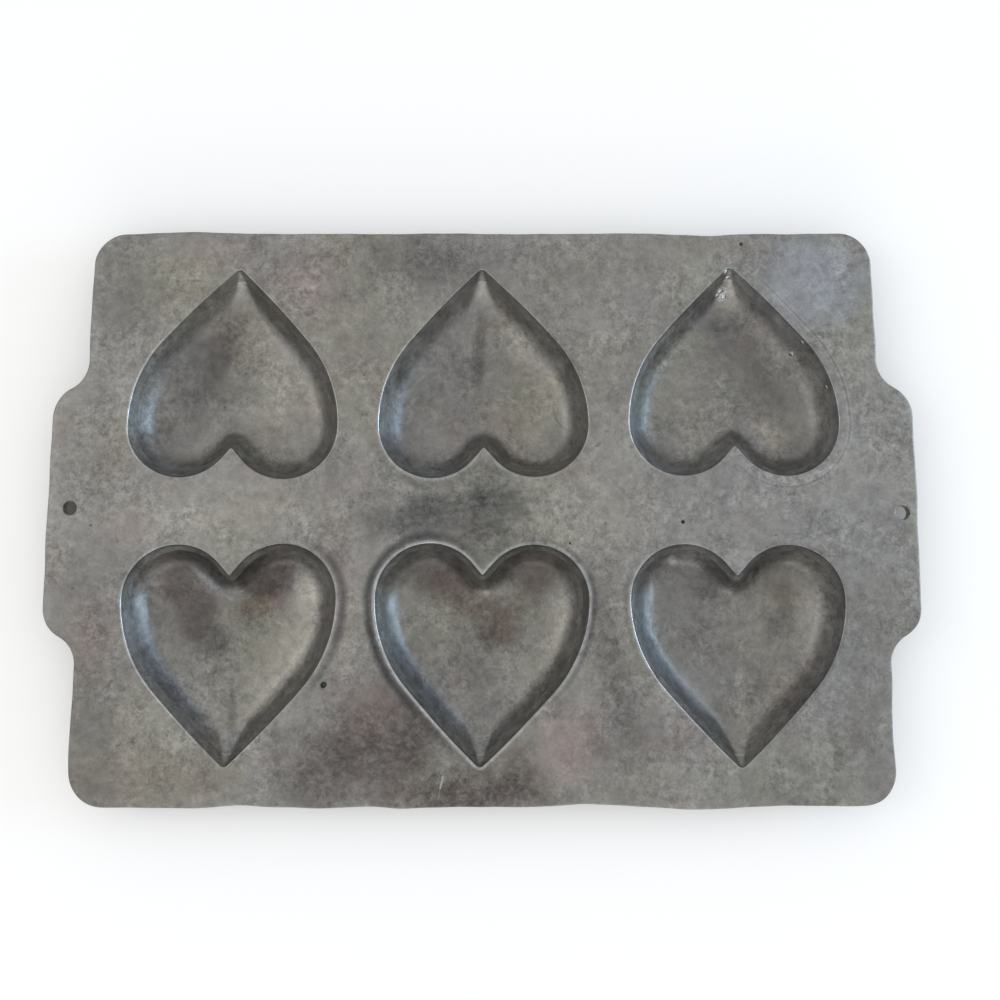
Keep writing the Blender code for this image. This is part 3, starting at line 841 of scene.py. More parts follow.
def grain_group():
    """Shader nodes for the face of a sand casting: mottling at several scales, pinpricks and grain."""
    tree, given, out = new_group("Cast Grain", "ShaderNodeTree", [
        ("Position", "Vector"), ("Seed", "Float")], [
        "Broad", "Tone", "Gloss", "Strokes", "Pricks", "Height"])
    place, seed = given["Position"], given["Seed"]
    calc, spread_as = partial(maths, tree), partial(spread, tree)
    patches, fine, middle, cloud, contrast, spots, broad = [
        noise(tree, kind, place, seed)
        for kind in ("patches", "fine", "middle", "cloud", "contrast", "pricks", "broad film")]
    brushed = noise(tree, "strokes", vectors(tree, "MULTIPLY", place, BRUSHED), seed)
    mixed = calc("ADD", calc("MULTIPLY", fine, FINE_SHARE), calc("MULTIPLY", middle, MIDDLE_SHARE))
    speckle = calc("MULTIPLY_ADD", spread_as("mottle", mixed), spread_as("contrast", contrast), 1.0)
    tone = calc("MULTIPLY", speckle, spread_as("patch tone", patches))
    pricks = spread_as("pricks", spots)
    results = {
        "Broad": spread_as("broad film", broad), "Tone": calc("MULTIPLY", tone, spread_as("cloud", cloud)),
        "Gloss": spread_as("patch gloss", patches), "Strokes": spread_as("strokes", brushed),
        "Pricks": pricks, "Height": calc("SUBTRACT", mixed, calc("MULTIPLY", pricks, PRICK_DEPTH))}
    for label, result in results.items():
        feed(tree, out[label], result)
    return tree


def worn_group():
    """Shader nodes for metal worn bright along the heart rims, broken up as real wear is."""
    tree, given, out = new_group("Worn Rim", "ShaderNodeTree", [
        ("Position", "Vector"), ("Inset", "Float"), ("Width", "Float", WEAR_WIDTH)], ["Mask"])
    away = maths(tree, "ABSOLUTE", maths(tree, "SUBTRACT", given["Inset"], WEAR_INSET))
    broken = spread(tree, "wear", noise(tree, "wear", given["Position"]))
    feed(tree, out["Mask"], maths(tree, "MULTIPLY", ramp(tree, away, given["Width"], 0.0), broken))
    return tree


def band_group():
    """Shader nodes for a soft band that follows a heart's rim at a distance."""
    tree, given, out = new_group("Rim Band", "ShaderNodeTree", [
        ("Inset", "Float"), ("Middle", "Float"), ("Half Width", "Float")], ["Mask"])
    away = maths(tree, "ABSOLUTE", maths(tree, "SUBTRACT", given["Inset"], given["Middle"]))
    feed(tree, out["Mask"], ramp(tree, away, given["Half Width"], 0.0))
    return tree


SHADER_GROUPS = {
    "Stain Patch": patch_group, "Line Mark": line_group, "Cast Grain": grain_group, "Worn Rim": worn_group,
    "Rim Band": band_group}


def group_node(tree, name, inputs, label=""):
    """Outputs of a shader group by name. The group is made the first time that it is asked for."""
    node = tree.nodes.new("ShaderNodeGroup")
    node.node_tree = bpy.data.node_groups.get(name) or SHADER_GROUPS[name]()
    node.label = label
    for socket, value in inputs.items():
        feed(tree, node.inputs[socket], value)
    return node.outputs


# Stains, and in the cups painted light and shade as well: label, centre and half size in millimetres, turn,
# colour, strength, raggedness and softness
PLATE_STAINS = (
    ("smear between the middle hearts", (-15, -2), (28, 9), 4, "grime", 0.48, 1.1, 0.5),
    ("smear's dark left", (-31, -5), (12, 4.5), 8, "soot", 0.4, 1.1, 0.7),
    ("smear's upper streak", (-20, 1.5), (16, 4), 10, "soot", 0.3, 1.1, 0.6),
    ("smear's dark right", (7, 1), (9, 8), 0, "soot", 0.26, 1.1, 0.6),
    ("smear below the cleft", (3, 8), (9, 12), 20, "soot", 0.34, 1.1, 0.6),
    ("smear in the front cleft", (0, -11), (8, 6), 0, "soot", 0.42, 0.9, 0.8),
    ("smear's right end", (15, -10), (9, 5), -20, "grime", 0.3, 0.9, 0.8),
    ("smear's left end", (-42, 3), (7, 5), 0, "grime", 0.3, 0.9, 0.8),
    ("burnt patch left of the tip", (-36, -84), (22, 20), 30, "smoke", 0.72, 0.8, 0.7),
    ("red edge of the burnt patch", (-42, -72), (10, 9), 0, "heat_stain", 0.5, 0.7, 0.8),
    ("brown beside the burnt patch", (-62, -94), (15, 13), 0, "smoke", 0.5, 0.8, 0.8),
    ("dark front edge", (-2, -104), (26, 8), 4, "smoke", 0.75, 0.7, 0.8),
    ("dark right of the tip", (14, -94), (7, 9), 0, "smoke", 0.5, 0.8, 0.8),
    ("pink right of the tip", (32, -86), (11, 12), -30, "pink", 0.75, 0.7, 0.8),
    ("brown front right of middle", (53, -82), (11, 14), 0, "smoke", 0.3, 0.9, 0.9),
    ("brown right of the front centre heart", (46, -50), (6, 22), 12, "smoke", 0.42, 0.8, 0.9),
    ("heat stain at the left end", (-147, -47), (10, 12), 0, "heat_stain", 0.6, 0.7, 0.9),
    ("brown front left", (-146, -78), (12, 18), 0, "smoke", 0.28, 0.8, 0.9),
    ("orange front left", (-120, -97), (24, 9), 0, "brown", 0.35, 0.9, 0.9),
    ("dull left end", (-150, -36), (14, 68), 0, "grime", 0.17, 0.6, 0.9),
    ("grey front right", (108, -103), (14, 5), 0, "grime", 0.2, 0.8, 0.9),
    ("pale film left of middle", (-92, -1), (40, 10), 0, "scoured", 0.45, 0.7, 0.9),
    ("pink at the left end", (-134, -6), (9, 6), 0, "pink", 0.4, 0.7, 0.9),
    ("pink between the left hearts", (-54, -36), (6, 22), 0, "pink", 0.35, 0.7, 0.9),
    ("pale film right of middle", (42, -3), (18, 12), 0, "scoured", 0.35, 0.7, 0.9),
    ("dark right of the rear centre heart", (46, 42), (4, 18), 0, "grime", 0.08, 0.8, 0.9),
    ("dull rear left", (-80, 92), (56, 20), 0, "grime", 0.14, 0.6, 0.9),
    ("dull front right", (142, -64), (28, 50), 0, "grime", 0.24, 0.6, 0.9),
    ("pale gap right of the rear centre heart", (46, 52), (8, 42), 0, "scoured", 0.25, 0.5, 0.9),
    ("smoke behind the rear centre heart", (-24, 99), (22, 9), -5, "grime", 0.5, 0.7, 0.9),
    ("brown behind the rear centre heart", (30, 97), (18, 8), 0, "smoke", 0.16, 0.8, 0.9),
    ("pink behind the rear left heart", (-68, 88), (15, 13), 0, "pink", 0.5, 0.7, 0.9),
    ("pink at the rear edge", (-106, 100), (11, 6), 0, "pink", 0.4, 0.7, 0.9),
    ("oil film rear left", (-120, 92), (15, 8), 0, "oil_stain", 0.5, 0.7, 0.9),
    ("dark rear left corner", (-140, 84), (12, 20), 0, "grime", 0.3, 0.8, 0.9),
    ("clean rear right corner", (130, 90), (17, 16), 0, "cool_metal", 0.85, 0.4, 0.5),
    ("cool right end", (126, -5), (46, 105), 0, "cool_metal", 0.2, 0.4, 0.7),
)
CUP_STAINS_AND_PAINTED_LIGHT = (
    ("rear left smear", (-103.5, 63), (17, 4.5), 68, "grime", 0.55, 0.5, 0.7),
    ("rear left shade", (-113, 52), (11, 19), -15, "grime", 0.42, 0.6, 0.8),
    # Painted light: the paler right side of the floor
    ("rear left pale right", (-80, 50), (8, 20), 15, "scoured", 0.4, 0.6, 0.8),
    # Painted highlight on the foot below the cleft
    ("rear left pale foot", (-90, 38), (14, 3.5), -10, "scoured", 0.3, 0.9, 0.8),
    ("rear centre streak", (-1.5, 65), (14, 2.2), 86, "grime", 0.5, 0.4, 0.7),
    ("rear centre streak's end", (-2.2, 55), (3.2, 5), 0, "grime", 0.45, 0.5, 0.6),
    # Painted light: the paler right side of the floor
    ("rear centre pale right", (19, 58), (5.5, 20), 30, "scoured", 0.45, 0.6, 0.8),
    ("rear centre oil", (18, 42), (13, 12), 0, "oil_stain", 0.7, 0.6, 0.8),
    ("rear centre heat", (8, 34), (8, 5), -30, "heat_stain", 0.4, 0.6, 0.9),
    ("rear left pale tip", (-96.5, 86), (3.5, 6), 0, "scoured", 0.5, 0.6, 0.8),
    ("rear centre pale tip", (1, 86), (3.5, 6), 0, "scoured", 0.4, 0.6, 0.8),
    ("rear right pale tip", (97, 84), (5, 7), 0, "scoured", 0.7, 0.6, 0.8),
    ("rear right dull band", (103, 61), (21, 8), -60, "grime", 0.42, 0.5, 0.8),
    ("rear right pale left of the cleft", (83, 29), (7, 4), 20, "scoured", 0.4, 0.6, 0.8),
    ("rear right pale right of the cleft", (112, 30), (8, 4), -30, "scoured", 0.5, 0.6, 0.8),
    ("rear right oil", (118, 32), (7, 6), 0, "oil_stain", 0.4, 0.6, 0.8),
    ("rear right flaw at the tip", (95.4, 92.6), (1.6, 1.6), 0, "bright", 0.8, 0.9, 0.5),
    ("rear right flaw below it", (94.2, 86.2), (2.3, 2.6), 0, "bright", 0.75, 1.0, 0.5),
    ("front left smudge", (-112, -36), (18, 8), -58, "smoke", 0.72, 0.9, 0.5),
    ("front left shade", (-113, -46), (8, 9), 0, "grime", 0.3, 0.7, 0.8),
    ("front left warm film", (-86, -49), (14, 14), 0, "oil_stain", 0.55, 0.7, 0.8),
    ("front left smudge's foot", (-103, -48), (7, 5), -30, "grime", 0.5, 0.6, 0.7),
    ("front left brown", (-85, -35), (12, 4.5), 22, "brown", 0.75, 0.9, 0.5),
    # Painted shade on the lobe tops, with some real stain at its brown edge
    ("front left dark lobe", (-85, -24), (12.5, 9), 12, "smoke", 0.82, 0.45, 0.35),
    ("front left dark left lobe", (-110, -20), (14, 6), -12, "smoke", 0.6, 0.5, 0.6),
    # Painted reflection beside the cleft
    ("front left pale streak", (-106, -26.5), (8, 1.3), -38, "cool_metal", 0.5, 0.5, 0.7),
    # Painted highlight on the floor beside the right lobe
    ("front left pale lobe", (-68.5, -31), (4, 9), -8, "scoured", 0.9, 0.5, 0.8),
    # Painted light: the paler right side of the floor
    ("front left pale right", (-76, -55), (8, 18), -25, "scoured", 0.5, 0.6, 0.8),
    ("front left pale tip", (-105, -78), (5, 12), 30, "scoured", 0.5, 0.6, 0.8),
    ("front left tip line", (-95.5, -75), (1.4, 10), 3, "grime", 0.4, 0.5, 0.8),
    # Painted highlight at the foot of the left wall
    ("front left spot", (-131.8, -34), (1.3, 2.4), 0, "bright", 0.35, 0.5, 0.8),
    # Painted shade on the lobe tops, with the red stain below
    ("front centre left lobe", (-19, -22), (16, 7.5), -12, "smoke", 0.6, 0.5, 0.6),
    ("front centre right lobe", (18, -22), (15, 8), 6, "smoke", 0.68, 0.5, 0.6),
    ("front centre red", (-6, -34), (16, 7.5), -28, "rust", 0.65, 0.8, 0.6),
    ("front centre red right", (14, -35), (12, 4), 40, "rust", 0.45, 0.6, 0.7),
    ("front centre red foot", (6, -46), (8, 6), 0, "rust", 0.6, 0.9, 0.6),
    ("front centre pale under the cleft", (3, -31), (5, 2.2), 15, "scoured", 0.4, 0.6, 0.7),
    # Painted light: the paler right side of the floor
    ("front centre pale right", (28, -42), (4, 15), -15, "scoured", 0.6, 0.6, 0.8),
    ("front centre oil", (13, -62), (6, 9), 0, "scoured", 0.3, 0.8, 0.8),
    ("front centre shade", (-3, -48), (7, 14), 0, "grime", 0.32, 0.7, 0.9),
    ("front centre dull foot", (25, -68), (6, 12), -40, "grime", 0.3, 0.7, 0.9),
    # Painted highlight at the foot of the left wall
    ("front centre spot", (-35.5, -36), (1.3, 2.6), 0, "bright", 0.4, 0.4, 0.8),
    # Painted shade on the lobe tops
    ("front right left lobe", (88, -27), (9, 7), -20, "grime", 0.62, 0.6, 0.7),
    ("front right right lobe", (112, -23), (17, 8), 6, "grime", 0.5, 0.6, 0.7),
    ("front right dull patch", (117, -42), (7, 6), 0, "grime", 0.4, 0.7, 0.8),
    ("front right red", (116, -32), (7, 4.5), 0, "rust", 0.4, 0.6, 0.7),
    ("front right smear", (112, -45), (7, 2.6), 60, "grime", 0.4, 0.5, 0.7),
    # Painted light: the paler right side of the floor
    ("front right pale right", (124, -38), (3.5, 12), 0, "scoured", 0.4, 0.6, 0.8),
    ("front right pale tip", (98.5, -74), (1.8, 11), 0, "scoured", 0.5, 0.5, 0.8),
    # Painted highlights at the foot of the left wall
    ("front right spot", (72.8, -19), (1.8, 1.4), 0, "bright", 0.7, 0.5, 0.8),
    ("front right glint", (64.8, -31), (1.1, 4), 0, "bright", 0.35, 0.5, 0.8),
)
PLATE_MARKS = (
    ("bright flaw at the rear right tip", (95.0, 93.4), (96.2, 93.6), 1.6, 0.7),
    ("bright nick at the front edge", (-14.6, -97.5), (-15.6, -101.5), 0.6, 0.9),
    ("nick's tail", (-15.6, -101.5), (-16.4, -105.5), 0.35, 0.3),
    ("scratch below the front centre heart", (-25, -80.9), (-8, -98.7), 0.3, 0.16),
    ("second scratch beside it", (-24, -89.4), (-12, -101.1), 0.25, 0.12),
)
CUP_MARKS = (
    ("scratch across the front centre cup", (-11, -72.5), (10, -72.8), 0.3, -0.15),
    ("crack in the rear centre cup", (27.5, 41.2), (29.0, 35.9), 0.35, -0.55),
    ("crack's middle", (29.0, 35.9), (30.9, 33.3), 0.4, -0.6),
    ("crack's foot", (30.9, 33.3), (34.2, 31.3), 0.35, -0.5),
    ("second crack in the rear centre cup", (7.8, 37.2), (10.7, 32.0), 0.35, -0.4),
)

# Dirt in the pits, as more stains of the plate
PIT_STAINS = tuple(
    ("dirt in a pit", centre, (1.2 * radius,) * 2, 0, "soot", 0.7, 0.8, 0.6) for centre, radius in PITS)

# Colours of stains and of painted light that aren't settings: cool_wall is painted bluish window light on the
# left walls, film is painted shade over the lit foot of the left walls
STAIN_COLOURS = {
    "rust": (0.098, 0.073, 0.064), "brown": (0.15, 0.122, 0.098), "pink": (0.27, 0.222, 0.215),
    "film": (0.135, 0.13, 0.122), "cool_wall": (0.158, 0.178, 0.21)}

# The three cups of a row stand this far apart, in millimetres
COLUMN_PITCH = 96


def row_of_three(label, first, half, middle, width, tint, *strengths):
    """The same band on the left, centre and right hearts of a row, all of one strength or each of its own."""
    places = [(first[0] + COLUMN_PITCH * column, first[1]) for column in range(3)]
    return tuple((label, place, half, middle, width, tint, strength)
                 for place, strength in zip(places, strengths * 3))


# Bands that follow a rim: label, centre and half size of the stretch, inset, half width, colour, strength
PLATE_BANDS = (
    ("soot round the proud rim", (-30, -42), (30, 46), -2.6, 2.9, "soot", 0.97),
    ("grime right of the proud rim", (38, -40), (16, 34), -2.0, 1.6, "soot", 0.5),
    ("bright edge of the proud rim", (-4, -50), (60, 60), -0.4, 0.9, "worn", 0.8),
    ("inner polishing ring", (122, 48), (26, 46), -3.3, 0.5, "worn", 0.4),
    ("outer polishing ring", (124, 48), (26, 46), -4.9, 0.5, "worn", 0.32),
    ("shadow between polishing rings", (124, 48), (26, 46), -4.1, 0.5, "grime", 0.35),
)
# Painted light and shade in the cups: darker feet of the left walls over the lamp's highlight, darker feet of
# the front row's lobes and paler upper walls of the lobes
PAINTED_CUP_LIGHT = (
    *row_of_three("dull foot, rear row", (-127, 38), (11, 20), 7.5, 3.2, "film", 0.8),
    *row_of_three("dull foot, front row", (-125, -46), (12, 18), 7.0, 3.0, "film", 0.55),
    ("dark foot of the front row's lobes", (0, -20), (150, 12), 8.0, 2.4, "grime", 0.32),
    ("pale upper wall of the front row's lobes", (0, -16), (150, 10), 3.8, 2.2, "bright", 0.07),
    ("pale upper wall of the rear row's lobes", (0, 20), (150, 10), 3.8, 2.2, "bright", 0.06),
)

# Bands of painted light and shade on the walls, which cross from the plate into the cups: lighter, bluish
# left walls and bright left rims where the window lamp falls, darker right walls and right rims, lighter
# front walls of the rear row, darker lobe rims and shade under them
PAINTED_WALL_LIGHT = (
    *row_of_three("light left wall, rear row", (-131, 44), (13, 26), 1.0, 1.9, "bright", 0.2),
    *row_of_three("light left wall, front row", (-128, -45), (15, 28), 1.0, 1.9, "bright", 0.2),
    *row_of_three("blue left flank, front row", (-118, -64), (22, 24), 4.2, 4.4, "cool_wall", 0.7, 0.7, 0.55),
    *row_of_three("dark right wall, rear row", (-60, 46), (14, 30), 0.7, 2.1, "grime", 0.36),
    *row_of_three("dark right wall, front row", (-66, -54), (18, 34), 0.6, 2.2, "grime", 0.44),
    *row_of_three("dark right rim, front row", (-66, -54), (18, 34), 0.1, 0.8, "grime", 0.3),
    *row_of_three("cool front left wall, rear row", (-127, 15), (18, 16), 3.4, 4.4, "cool_metal", 0.6),
    ("lighter front walls of the rear row", (0, 3), (150, 9), 4.0, 3.2, "cool_metal", 0.3),
    ("dull rims of the rear row's lobes", (0, 3), (150, 8), 0.1, 0.8, "grime", 0.3),
    ("dull rims of the front row's lobes", (0, -5), (150, 9), 0.1, 0.8, "grime", 0.36),
    ("bright rim of the front centre's left lobe", (-20, -8), (13, 9), 0.0, 0.6, "bright", 0.4),
    ("shade under the front row's lobe rims", (0, -13), (150, 9), 0.4, 1.1, "grime", 0.34),
    ("shade under the rear row's lobe rims", (0, 12), (150, 9), 0.4, 1.1, "grime", 0.3),
    *row_of_three("bright left rim, rear row", (-136, 46), (14, 32), 0.05, 0.6, "bright", 0.5),
    *row_of_three("bright left rim, front row", (-128, -60), (22, 40), 0.05, 0.6, "bright", 0.5, 0.4, 0.5),
)

# The two metals: the painted wall shares hold for the upper wall and for the floor, so that the cups' upper
# walls carry painted light and their floors painted shade, and strokes break stains by a share
METALS = {
    "plate cast": {
        "base": "metal", "stains": PLATE_STAINS + PIT_STAINS, "marks": PLATE_MARKS,
        "bands": PLATE_BANDS + PAINTED_WALL_LIGHT, "seed": 0.0, "rough_shift": 0.0, "painted_wall_shares": (1.0, 1.0),
        "stroke_share": 1.0},
    "cup cast": {
        "base": "cup_metal", "stains": CUP_STAINS_AND_PAINTED_LIGHT, "marks": CUP_MARKS, "bands": PAINTED_CUP_LIGHT + PAINTED_WALL_LIGHT,
        "seed": 5.0, "rough_shift": -0.06, "painted_wall_shares": (1.22, 0.9), "stroke_share": 0.35},
}
WALL_TOP, WALL_FOOT = 2 * MM, 10 * MM

# Strength of the oil film, heat colour, pinpricks and wear that lie over a whole casting
OIL_STRENGTH, HEAT_STRENGTH, PRICK_STRENGTH, WEAR_STRENGTH = 0.45, 0.38, 0.45, 0.22

# Takes the underside of a cup out of reach of every band
OUTSIDE_SHIFT = 50 * MM


def on_tray(spot):
    """A point in metres on the tray from a spot in millimetres."""
    return (spot[0] * MM, spot[1] * MM, 0)


def patch_mask(tree, position, label, centre, half, turn=0, ragged=0.5, soft=0.9):
    return group_node(tree, "Stain Patch", {
        "Position": position, "Centre": on_tray(centre), "Half Size": (half[0] * MM, half[1] * MM, 1),
        "Turn": math.radians(turn), "Raggedness": ragged, "Softness": soft}, label)["Mask"]


def tinted(tree, colour, mask, strength, over):
    """A colour with another laid over it through a mask."""
    return blend(tree, maths(tree, "MULTIPLY", mask, strength), colour, (*over, 1.0))


def with_stains_and_painted_light(tree, colour, metal, position, inset, strokes):
    """A colour with a metal's stains and then its bands over it, many of which are painted light and shade.
    """
    calc = partial(maths, tree)
    finish = bpy.context.scene.heart_tray_finish

    def tint_of(name):
        return STAIN_COLOURS.get(name) or getattr(finish, name)

    broken = calc("MULTIPLY_ADD", calc("SUBTRACT", strokes, 1.0), metal["stroke_share"], 1.0)
    flecks = noise(tree, "flecks", vectors(tree, "MULTIPLY", position, RUBBED), metal["seed"])
    speckled = calc("MULTIPLY", broken, spread(tree, "flecks", flecks))
    for label, centre, half, turn, tint, strength, ragged, soft in metal["stains"]:
        mask = patch_mask(tree, position, label, centre, half, turn, ragged, soft)
        mask = calc("MULTIPLY", mask, speckled if tint == "soot" else broken)
        colour = tinted(tree, colour, mask, strength, tint_of(tint))
    for label, centre, half, middle, width, tint, strength in metal["bands"]:
        sizes = {"Inset": inset, "Middle": middle * MM, "Half Width": width * MM}
        band = group_node(tree, "Rim Band", sizes, label)["Mask"]
        mask = calc("MULTIPLY", band, patch_mask(tree, position, label, centre, half))
        colour = tinted(tree, colour, mask, strength, tint_of(tint))
    return colour


def cast_metal(name):
    """Old cast aluminium with mottled face, dirt, marks, bright rims, sand grain and painted light and shade.
    It is made only once.
    """
    found = bpy.data.materials.get(name)
    if found:
        return found
    metal, finish = METALS[name], bpy.context.scene.heart_tray_finish
    material = bpy.data.materials.new(name)
    material.use_nodes = True
    tree = material.node_tree
    calc = partial(maths, tree)
    position = live(tree.nodes.new("ShaderNodeTexCoord").outputs, "Object")
    inset, surface = [live(add(tree, "ShaderNodeAttribute", attribute_name=label).outputs, "Fac")
                      for label in ("inset", "surface")]
    outside = calc("GREATER_THAN", surface, OUTSIDE_LIMIT)
    inset = calc("SUBTRACT", inset, calc("MULTIPLY", outside, OUTSIDE_SHIFT))
    grain = group_node(tree, "Cast Grain", {"Position": position, "Seed": metal["seed"]})

    # Painted light and shade: the cups' upper walls lighter, their floors darker
    tone = ramp(tree, inset, WALL_TOP, WALL_FOOT, *metal["painted_wall_shares"])
    colour = scaled(tree, getattr(finish, metal["base"]), tone)
    colour = tinted(tree, colour, grain["Broad"], OIL_STRENGTH, finish.oil_stain)
    heat = spread(tree, "heat", noise(tree, "heat", position, metal["seed"]))
    colour = tinted(tree, colour, heat, HEAT_STRENGTH, finish.heat_stain)
    colour = with_stains_and_painted_light(tree, colour, metal, position, inset, grain["Strokes"])
    colour = tinted(tree, colour, grain["Pricks"], PRICK_STRENGTH, finish.grime)
    colour = scaled(tree, colour, grain["Tone"])
    for label, start, end, width, strength in metal["marks"]:
        line = group_node(tree, "Line Mark", {
            "Position": position, "From": on_tray(start), "To": on_tray(end), "Width": width * MM}, label)
        over = finish.worn if strength > 0 else finish.grime
        colour = tinted(tree, colour, line["Mask"], abs(strength), over)
    worn = group_node(tree, "Worn Rim", {"Position": position, "Inset": inset})["Mask"]
    colour = tinted(tree, colour, worn, WEAR_STRENGTH, finish.worn)

    dull = calc("ADD", finish.roughness + metal["rough_shift"], grain["Gloss"])
    shares = {"Factor": worn, "A": dull, "B": finish.worn_roughness}
    rough = add(tree, "ShaderNodeMix", shares, data_type="FLOAT")
    bump = add(tree, "ShaderNodeBump", {
        "Strength": 1.0, "Distance": finish.grain_height, "Height": grain["Height"]})
    results = {
        "Base Color": colour, "Roughness": live(rough.outputs, "Result"), "Normal": bump.outputs[0],
        "Metallic": finish.metal_share}
    for socket, result in results.items():
        feed(tree, tree.nodes["Principled BSDF"].inputs[socket], result)
    return material


class HEARTTRAY_OT_plate(bpy.types.Operator):
    """Build the plate with its rims, edge, holes and pits"""

    bl_idname = "heart_tray.plate"
    bl_label = "Build Plate"

    def execute(self, context):
        shape = context.scene.heart_tray_shape
        plate = cast_piece(plate_mesh(shape.proud_rim), section_values(shape, cast_metal("plate cast")))
        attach(plate, BODY)
        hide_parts("tray_plate")
        return {"FINISHED"}


class HEARTTRAY_OT_cups(bpy.types.Operator):
    """Build the six heart cups"""

    bl_idname = "heart_tray.cups"
    bl_label = "Build Cups"

    def execute(self, context):
        shape = context.scene.heart_tray_shape
        for heart in HEARTS:
            cup = cast_piece(cup_mesh(heart), section_values(shape, cast_metal("cup cast")))
            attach(cup, BODY)
            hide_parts(f"heart_cup_{heart[0]}")
        return {"FINISHED"}


def surface_below(spot):
    """Place and normal of the casting under a spot given in millimetres."""
    bpy.context.view_layer.update()
    hits = []
    for item in bpy.data.objects:
        if item.name.endswith("_cast"):
            found, place, normal, _ = item.ray_cast((spot[0] * MM, spot[1] * MM, 2 * TOP), (0, 0, -1))
            if found:
                hits.append((place.z, tuple(place), tuple(normal)))
    return max(hits)[1:]


class HEARTTRAY_OT_nodules(bpy.types.Operator):
    """Add the small lumps that the mould left on the casting"""

    bl_idname = "heart_tray.nodules"
    bl_label = "Add Nodules"

    def execute(self, context):
        mesh = bpy.data.meshes.new("casting_nodules")
        places, normals = zip(*[surface_below(spot) for spot, _ in NODULES])
        mesh.from_pydata(places, [], [])
        mesh.attributes.new("lean", "FLOAT_VECTOR", "POINT").data.foreach_set("vector", np.ravel(normals))
        mesh.attributes.new("size", "FLOAT", "POINT").data.foreach_set("value", [size for _, size in NODULES])
        lumps = new_piece("casting_nodules", mesh)
        seed = context.scene.heart_tray_shape.seed
        run_tree(lumps, nodule_tree(), {"Seed": seed, "Material": cast_metal("cup cast")})
        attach(lumps, BODY)
        return {"FINISHED"}


# Lamps that face the middle of the tray: place, width and height, the setting of their power, and colour
LAMPS = {
    "window_right": ((1.2, 0.12, 0.36), (0.5, 0.45), "window_power", (0.53, 0.76, 1.0)),
    "ceiling_left": ((-0.85, 0.1, 0.85), (0.5, 0.5), "ceiling_power", (1.0, 0.97, 0.9)),
    "fill_front": ((0.0, -1.1, 0.4), (0.7, 0.3), "fill_power", (1.0, 0.98, 0.95)),
}

# The photograph's camera, fitted to edges seen in it: lens and sensor in millimetres, turn in degrees
CAMERA_LENS, CAMERA_SENSOR, CAMERA_SHIFT = 39.924, 36, -0.1
CAMERA_NEAREST = 0.01
CAMERA_PLACE = (0.005474, -0.01856, TOP + 0.422851)
CAMERA_TURN = (8.1797, -0.1343, -0.0988)

FLOOR_REACH = 3.0
FLOOR_ROUGHNESS, FLOOR_SPECULAR = 0.9, 0.1

# Painted shade on the floor seen through the two holes, darker under the left hole and paler under the right
# one, which is lit from the right: place on the floor in millimetres, and how many times paler than the shade
# colour
HOLE_VIEWS = (((-163.3, 1.8), 1.0), ((165.8, -0.6), 3.0))
HOLE_VIEW_RADIUS = 3.4 * MM
HOLE_VIEW_CORE = 0.95 * HOLE_VIEW_RADIUS


def area_lamp(name, place, size, power, colour):
    """A soft rectangular lamp that faces the tray and isn't seen itself."""
    lamp = bpy.data.lights.new(name, "AREA")
    lamp.shape = "RECTANGLE"
    lamp.size, lamp.size_y = size
    lamp.energy = power
    lamp.color = colour
    item = new_piece(name, lamp)
    item.location = place
    item.rotation_euler = (Vector((0, 0, TOP)) - Vector(place)).to_track_quat("-Z", "Y").to_euler()
    item.visible_camera = False


def seen_directly(tree):
    """1 for a ray from the camera, in a reflection or through glass, and 0 for scattered light."""
    path = tree.nodes.new("ShaderNodeLightPath").outputs
    seen = maths(tree, "MAXIMUM", path["Is Camera Ray"], path["Is Glossy Ray"])
    return maths(tree, "MAXIMUM", seen, path["Is Transmission Ray"])


def studio_world(level):
    """White where it is seen or reflected, and a plain even light elsewhere."""
    world = bpy.data.worlds.new("studio")
    world.use_nodes = True
    tree = world.node_tree
    plain = tree.nodes["Background"]
    feed(tree, plain.inputs["Color"], (1, 1, 1, 1))
    feed(tree, plain.inputs["Strength"], level)
    white = add(tree, "ShaderNodeBackground", {"Color": (1, 1, 1, 1), "Strength": 1.0})
    mix = add(tree, "ShaderNodeMixShader", {0: seen_directly(tree), 1: plain.outputs[0], 2: white.outputs[0]})
    feed(tree, tree.nodes["World Output"].inputs["Surface"], mix.outputs[0])
    return world


def floor_material(colour, hole_shade_colour, lift):
    """Pale floor, with a small grey patch of painted shade under each hanging hole for what the photograph
    shows there.
    """
    material = bpy.data.materials.new("pale floor")
    material.use_nodes = True
    tree = material.node_tree
    place = live(tree.nodes.new("ShaderNodeTexCoord").outputs, "Object")
    shade = (*colour, 1.0)
    for spot, paler in HOLE_VIEWS:
        away = vectors(tree, "DISTANCE", place, on_tray(spot))
        mask = ramp(tree, away, HOLE_VIEW_RADIUS, HOLE_VIEW_CORE)
        patch = tuple(min(paler * channel, 1.0) for channel in hole_shade_colour)
        shade = blend(tree, mask, shade, (*patch, 1.0))
    results = {
        "Base Color": shade, "Emission Color": shade, "Roughness": FLOOR_ROUGHNESS,
        "Emission Strength": maths(tree, "MULTIPLY", seen_directly(tree), lift),
        "Specular IOR Level": FLOOR_SPECULAR}
    for socket, result in results.items():
        feed(tree, tree.nodes["Principled BSDF"].inputs[socket], result)
    return material


def floor_piece(colour, hole_shade_colour, lift):
    """One wide square under the tray."""
    corners = [(x * FLOOR_REACH, y * FLOOR_REACH, 0) for x, y in ((-1, -1), (1, -1), (1, 1), (-1, 1))]
    mesh = bpy.data.meshes.new("studio_floor")
    mesh.from_pydata(corners, [], [(0, 1, 2, 3)])
    mesh.materials.append(floor_material(colour, hole_shade_colour, lift))
    return new_piece("studio_floor", mesh)


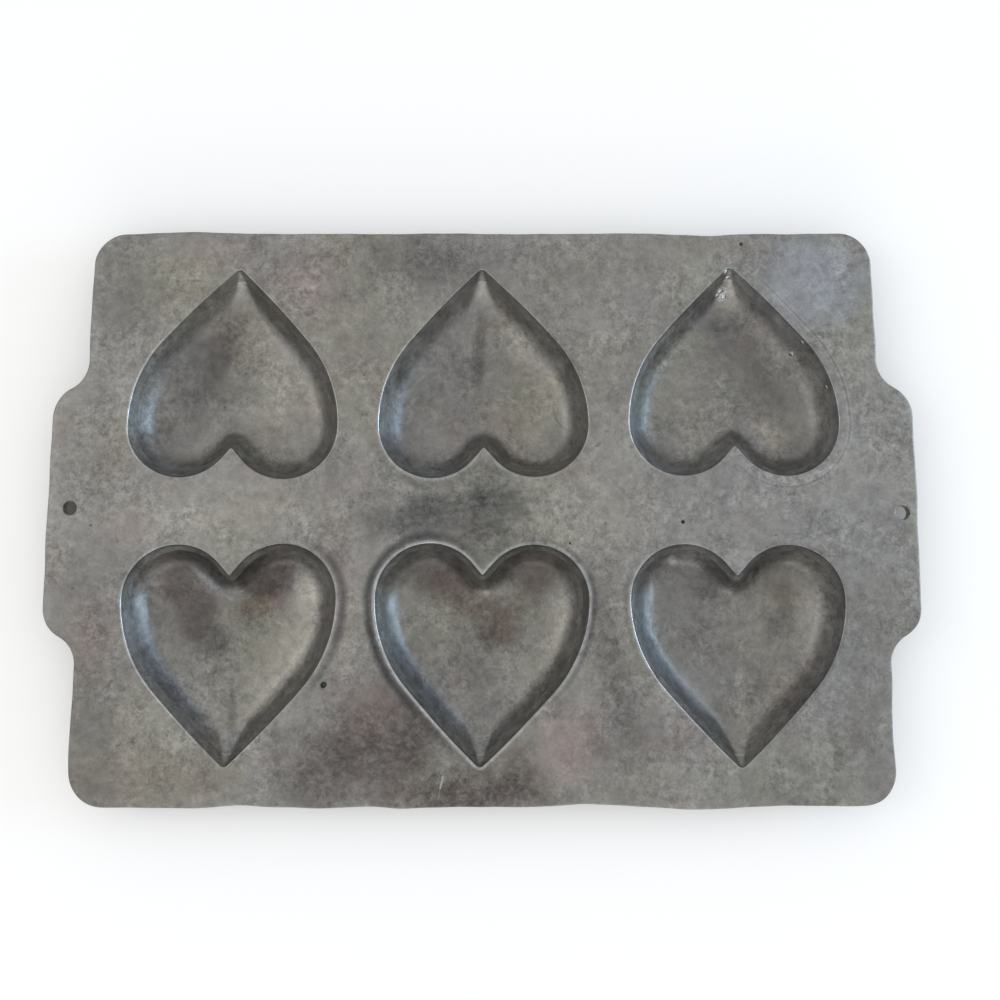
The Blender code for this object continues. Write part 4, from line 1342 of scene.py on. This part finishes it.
def photo_camera():
    lens = bpy.data.cameras.new("photo_camera")
    lens.lens, lens.sensor_width, lens.shift_y = CAMERA_LENS, CAMERA_SENSOR, CAMERA_SHIFT
    lens.clip_start = CAMERA_NEAREST
    camera = new_piece("photo_camera", lens)
    camera.location = CAMERA_PLACE
    camera.rotation_euler = tuple(math.radians(turn) for turn in CAMERA_TURN)
    return camera


class HEARTTRAY_OT_stage(bpy.types.Operator):
    """Set the floor, the studio light and the camera"""

    bl_idname = "heart_tray.stage"
    bl_label = "Set Stage"

    def execute(self, context):
        stage = context.scene.heart_tray_stage
        floor_piece(stage.floor_colour, stage.hole_shade_colour, stage.floor_lift)
        context.scene.world = studio_world(stage.sky_level)
        for name, (place, size, power, colour) in LAMPS.items():
            area_lamp(name, place, size, getattr(stage, power), colour)
        context.scene.camera = photo_camera()
        context.scene.view_settings.view_transform = "Standard"
        return {"FINISHED"}


class VIEW3D_PT_heart_tray(bpy.types.Panel):
    """Sizes, colours and building steps of the heart tray"""

    bl_label = "Heart Tray"
    bl_space_type = "VIEW_3D"
    bl_region_type = "UI"
    bl_category = "Heart Tray"

    def draw(self, context):
        for label in GROUPS:
            group = getattr(context.scene, label)
            box = self.layout.box()
            for name in group.__annotations__:
                box.prop(group, name)
        for operator in STEPS:
            self.layout.operator(operator.bl_idname)


STEPS = (HEARTTRAY_OT_plate, HEARTTRAY_OT_cups, HEARTTRAY_OT_nodules, HEARTTRAY_OT_stage)
GROUPS = {
    "heart_tray_shape": HeartTrayShape, "heart_tray_finish": HeartTrayFinish,
    "heart_tray_stage": HeartTrayStage}


def register():
    for item in (*GROUPS.values(), *STEPS, VIEW3D_PT_heart_tray):
        bpy.utils.register_class(item)
    for name, group in GROUPS.items():
        setattr(bpy.types.Scene, name, PointerProperty(type=group))


def unregister():
    for name in GROUPS:
        delattr(bpy.types.Scene, name)
    for item in (VIEW3D_PT_heart_tray, *STEPS[::-1], *list(GROUPS.values())[::-1]):
        bpy.utils.unregister_class(item)


def main():
    register()
    for name in ("plate", "cups", "nodules", "stage"):
        getattr(bpy.ops.heart_tray, name)()


if __name__ == "__main__":
    main()
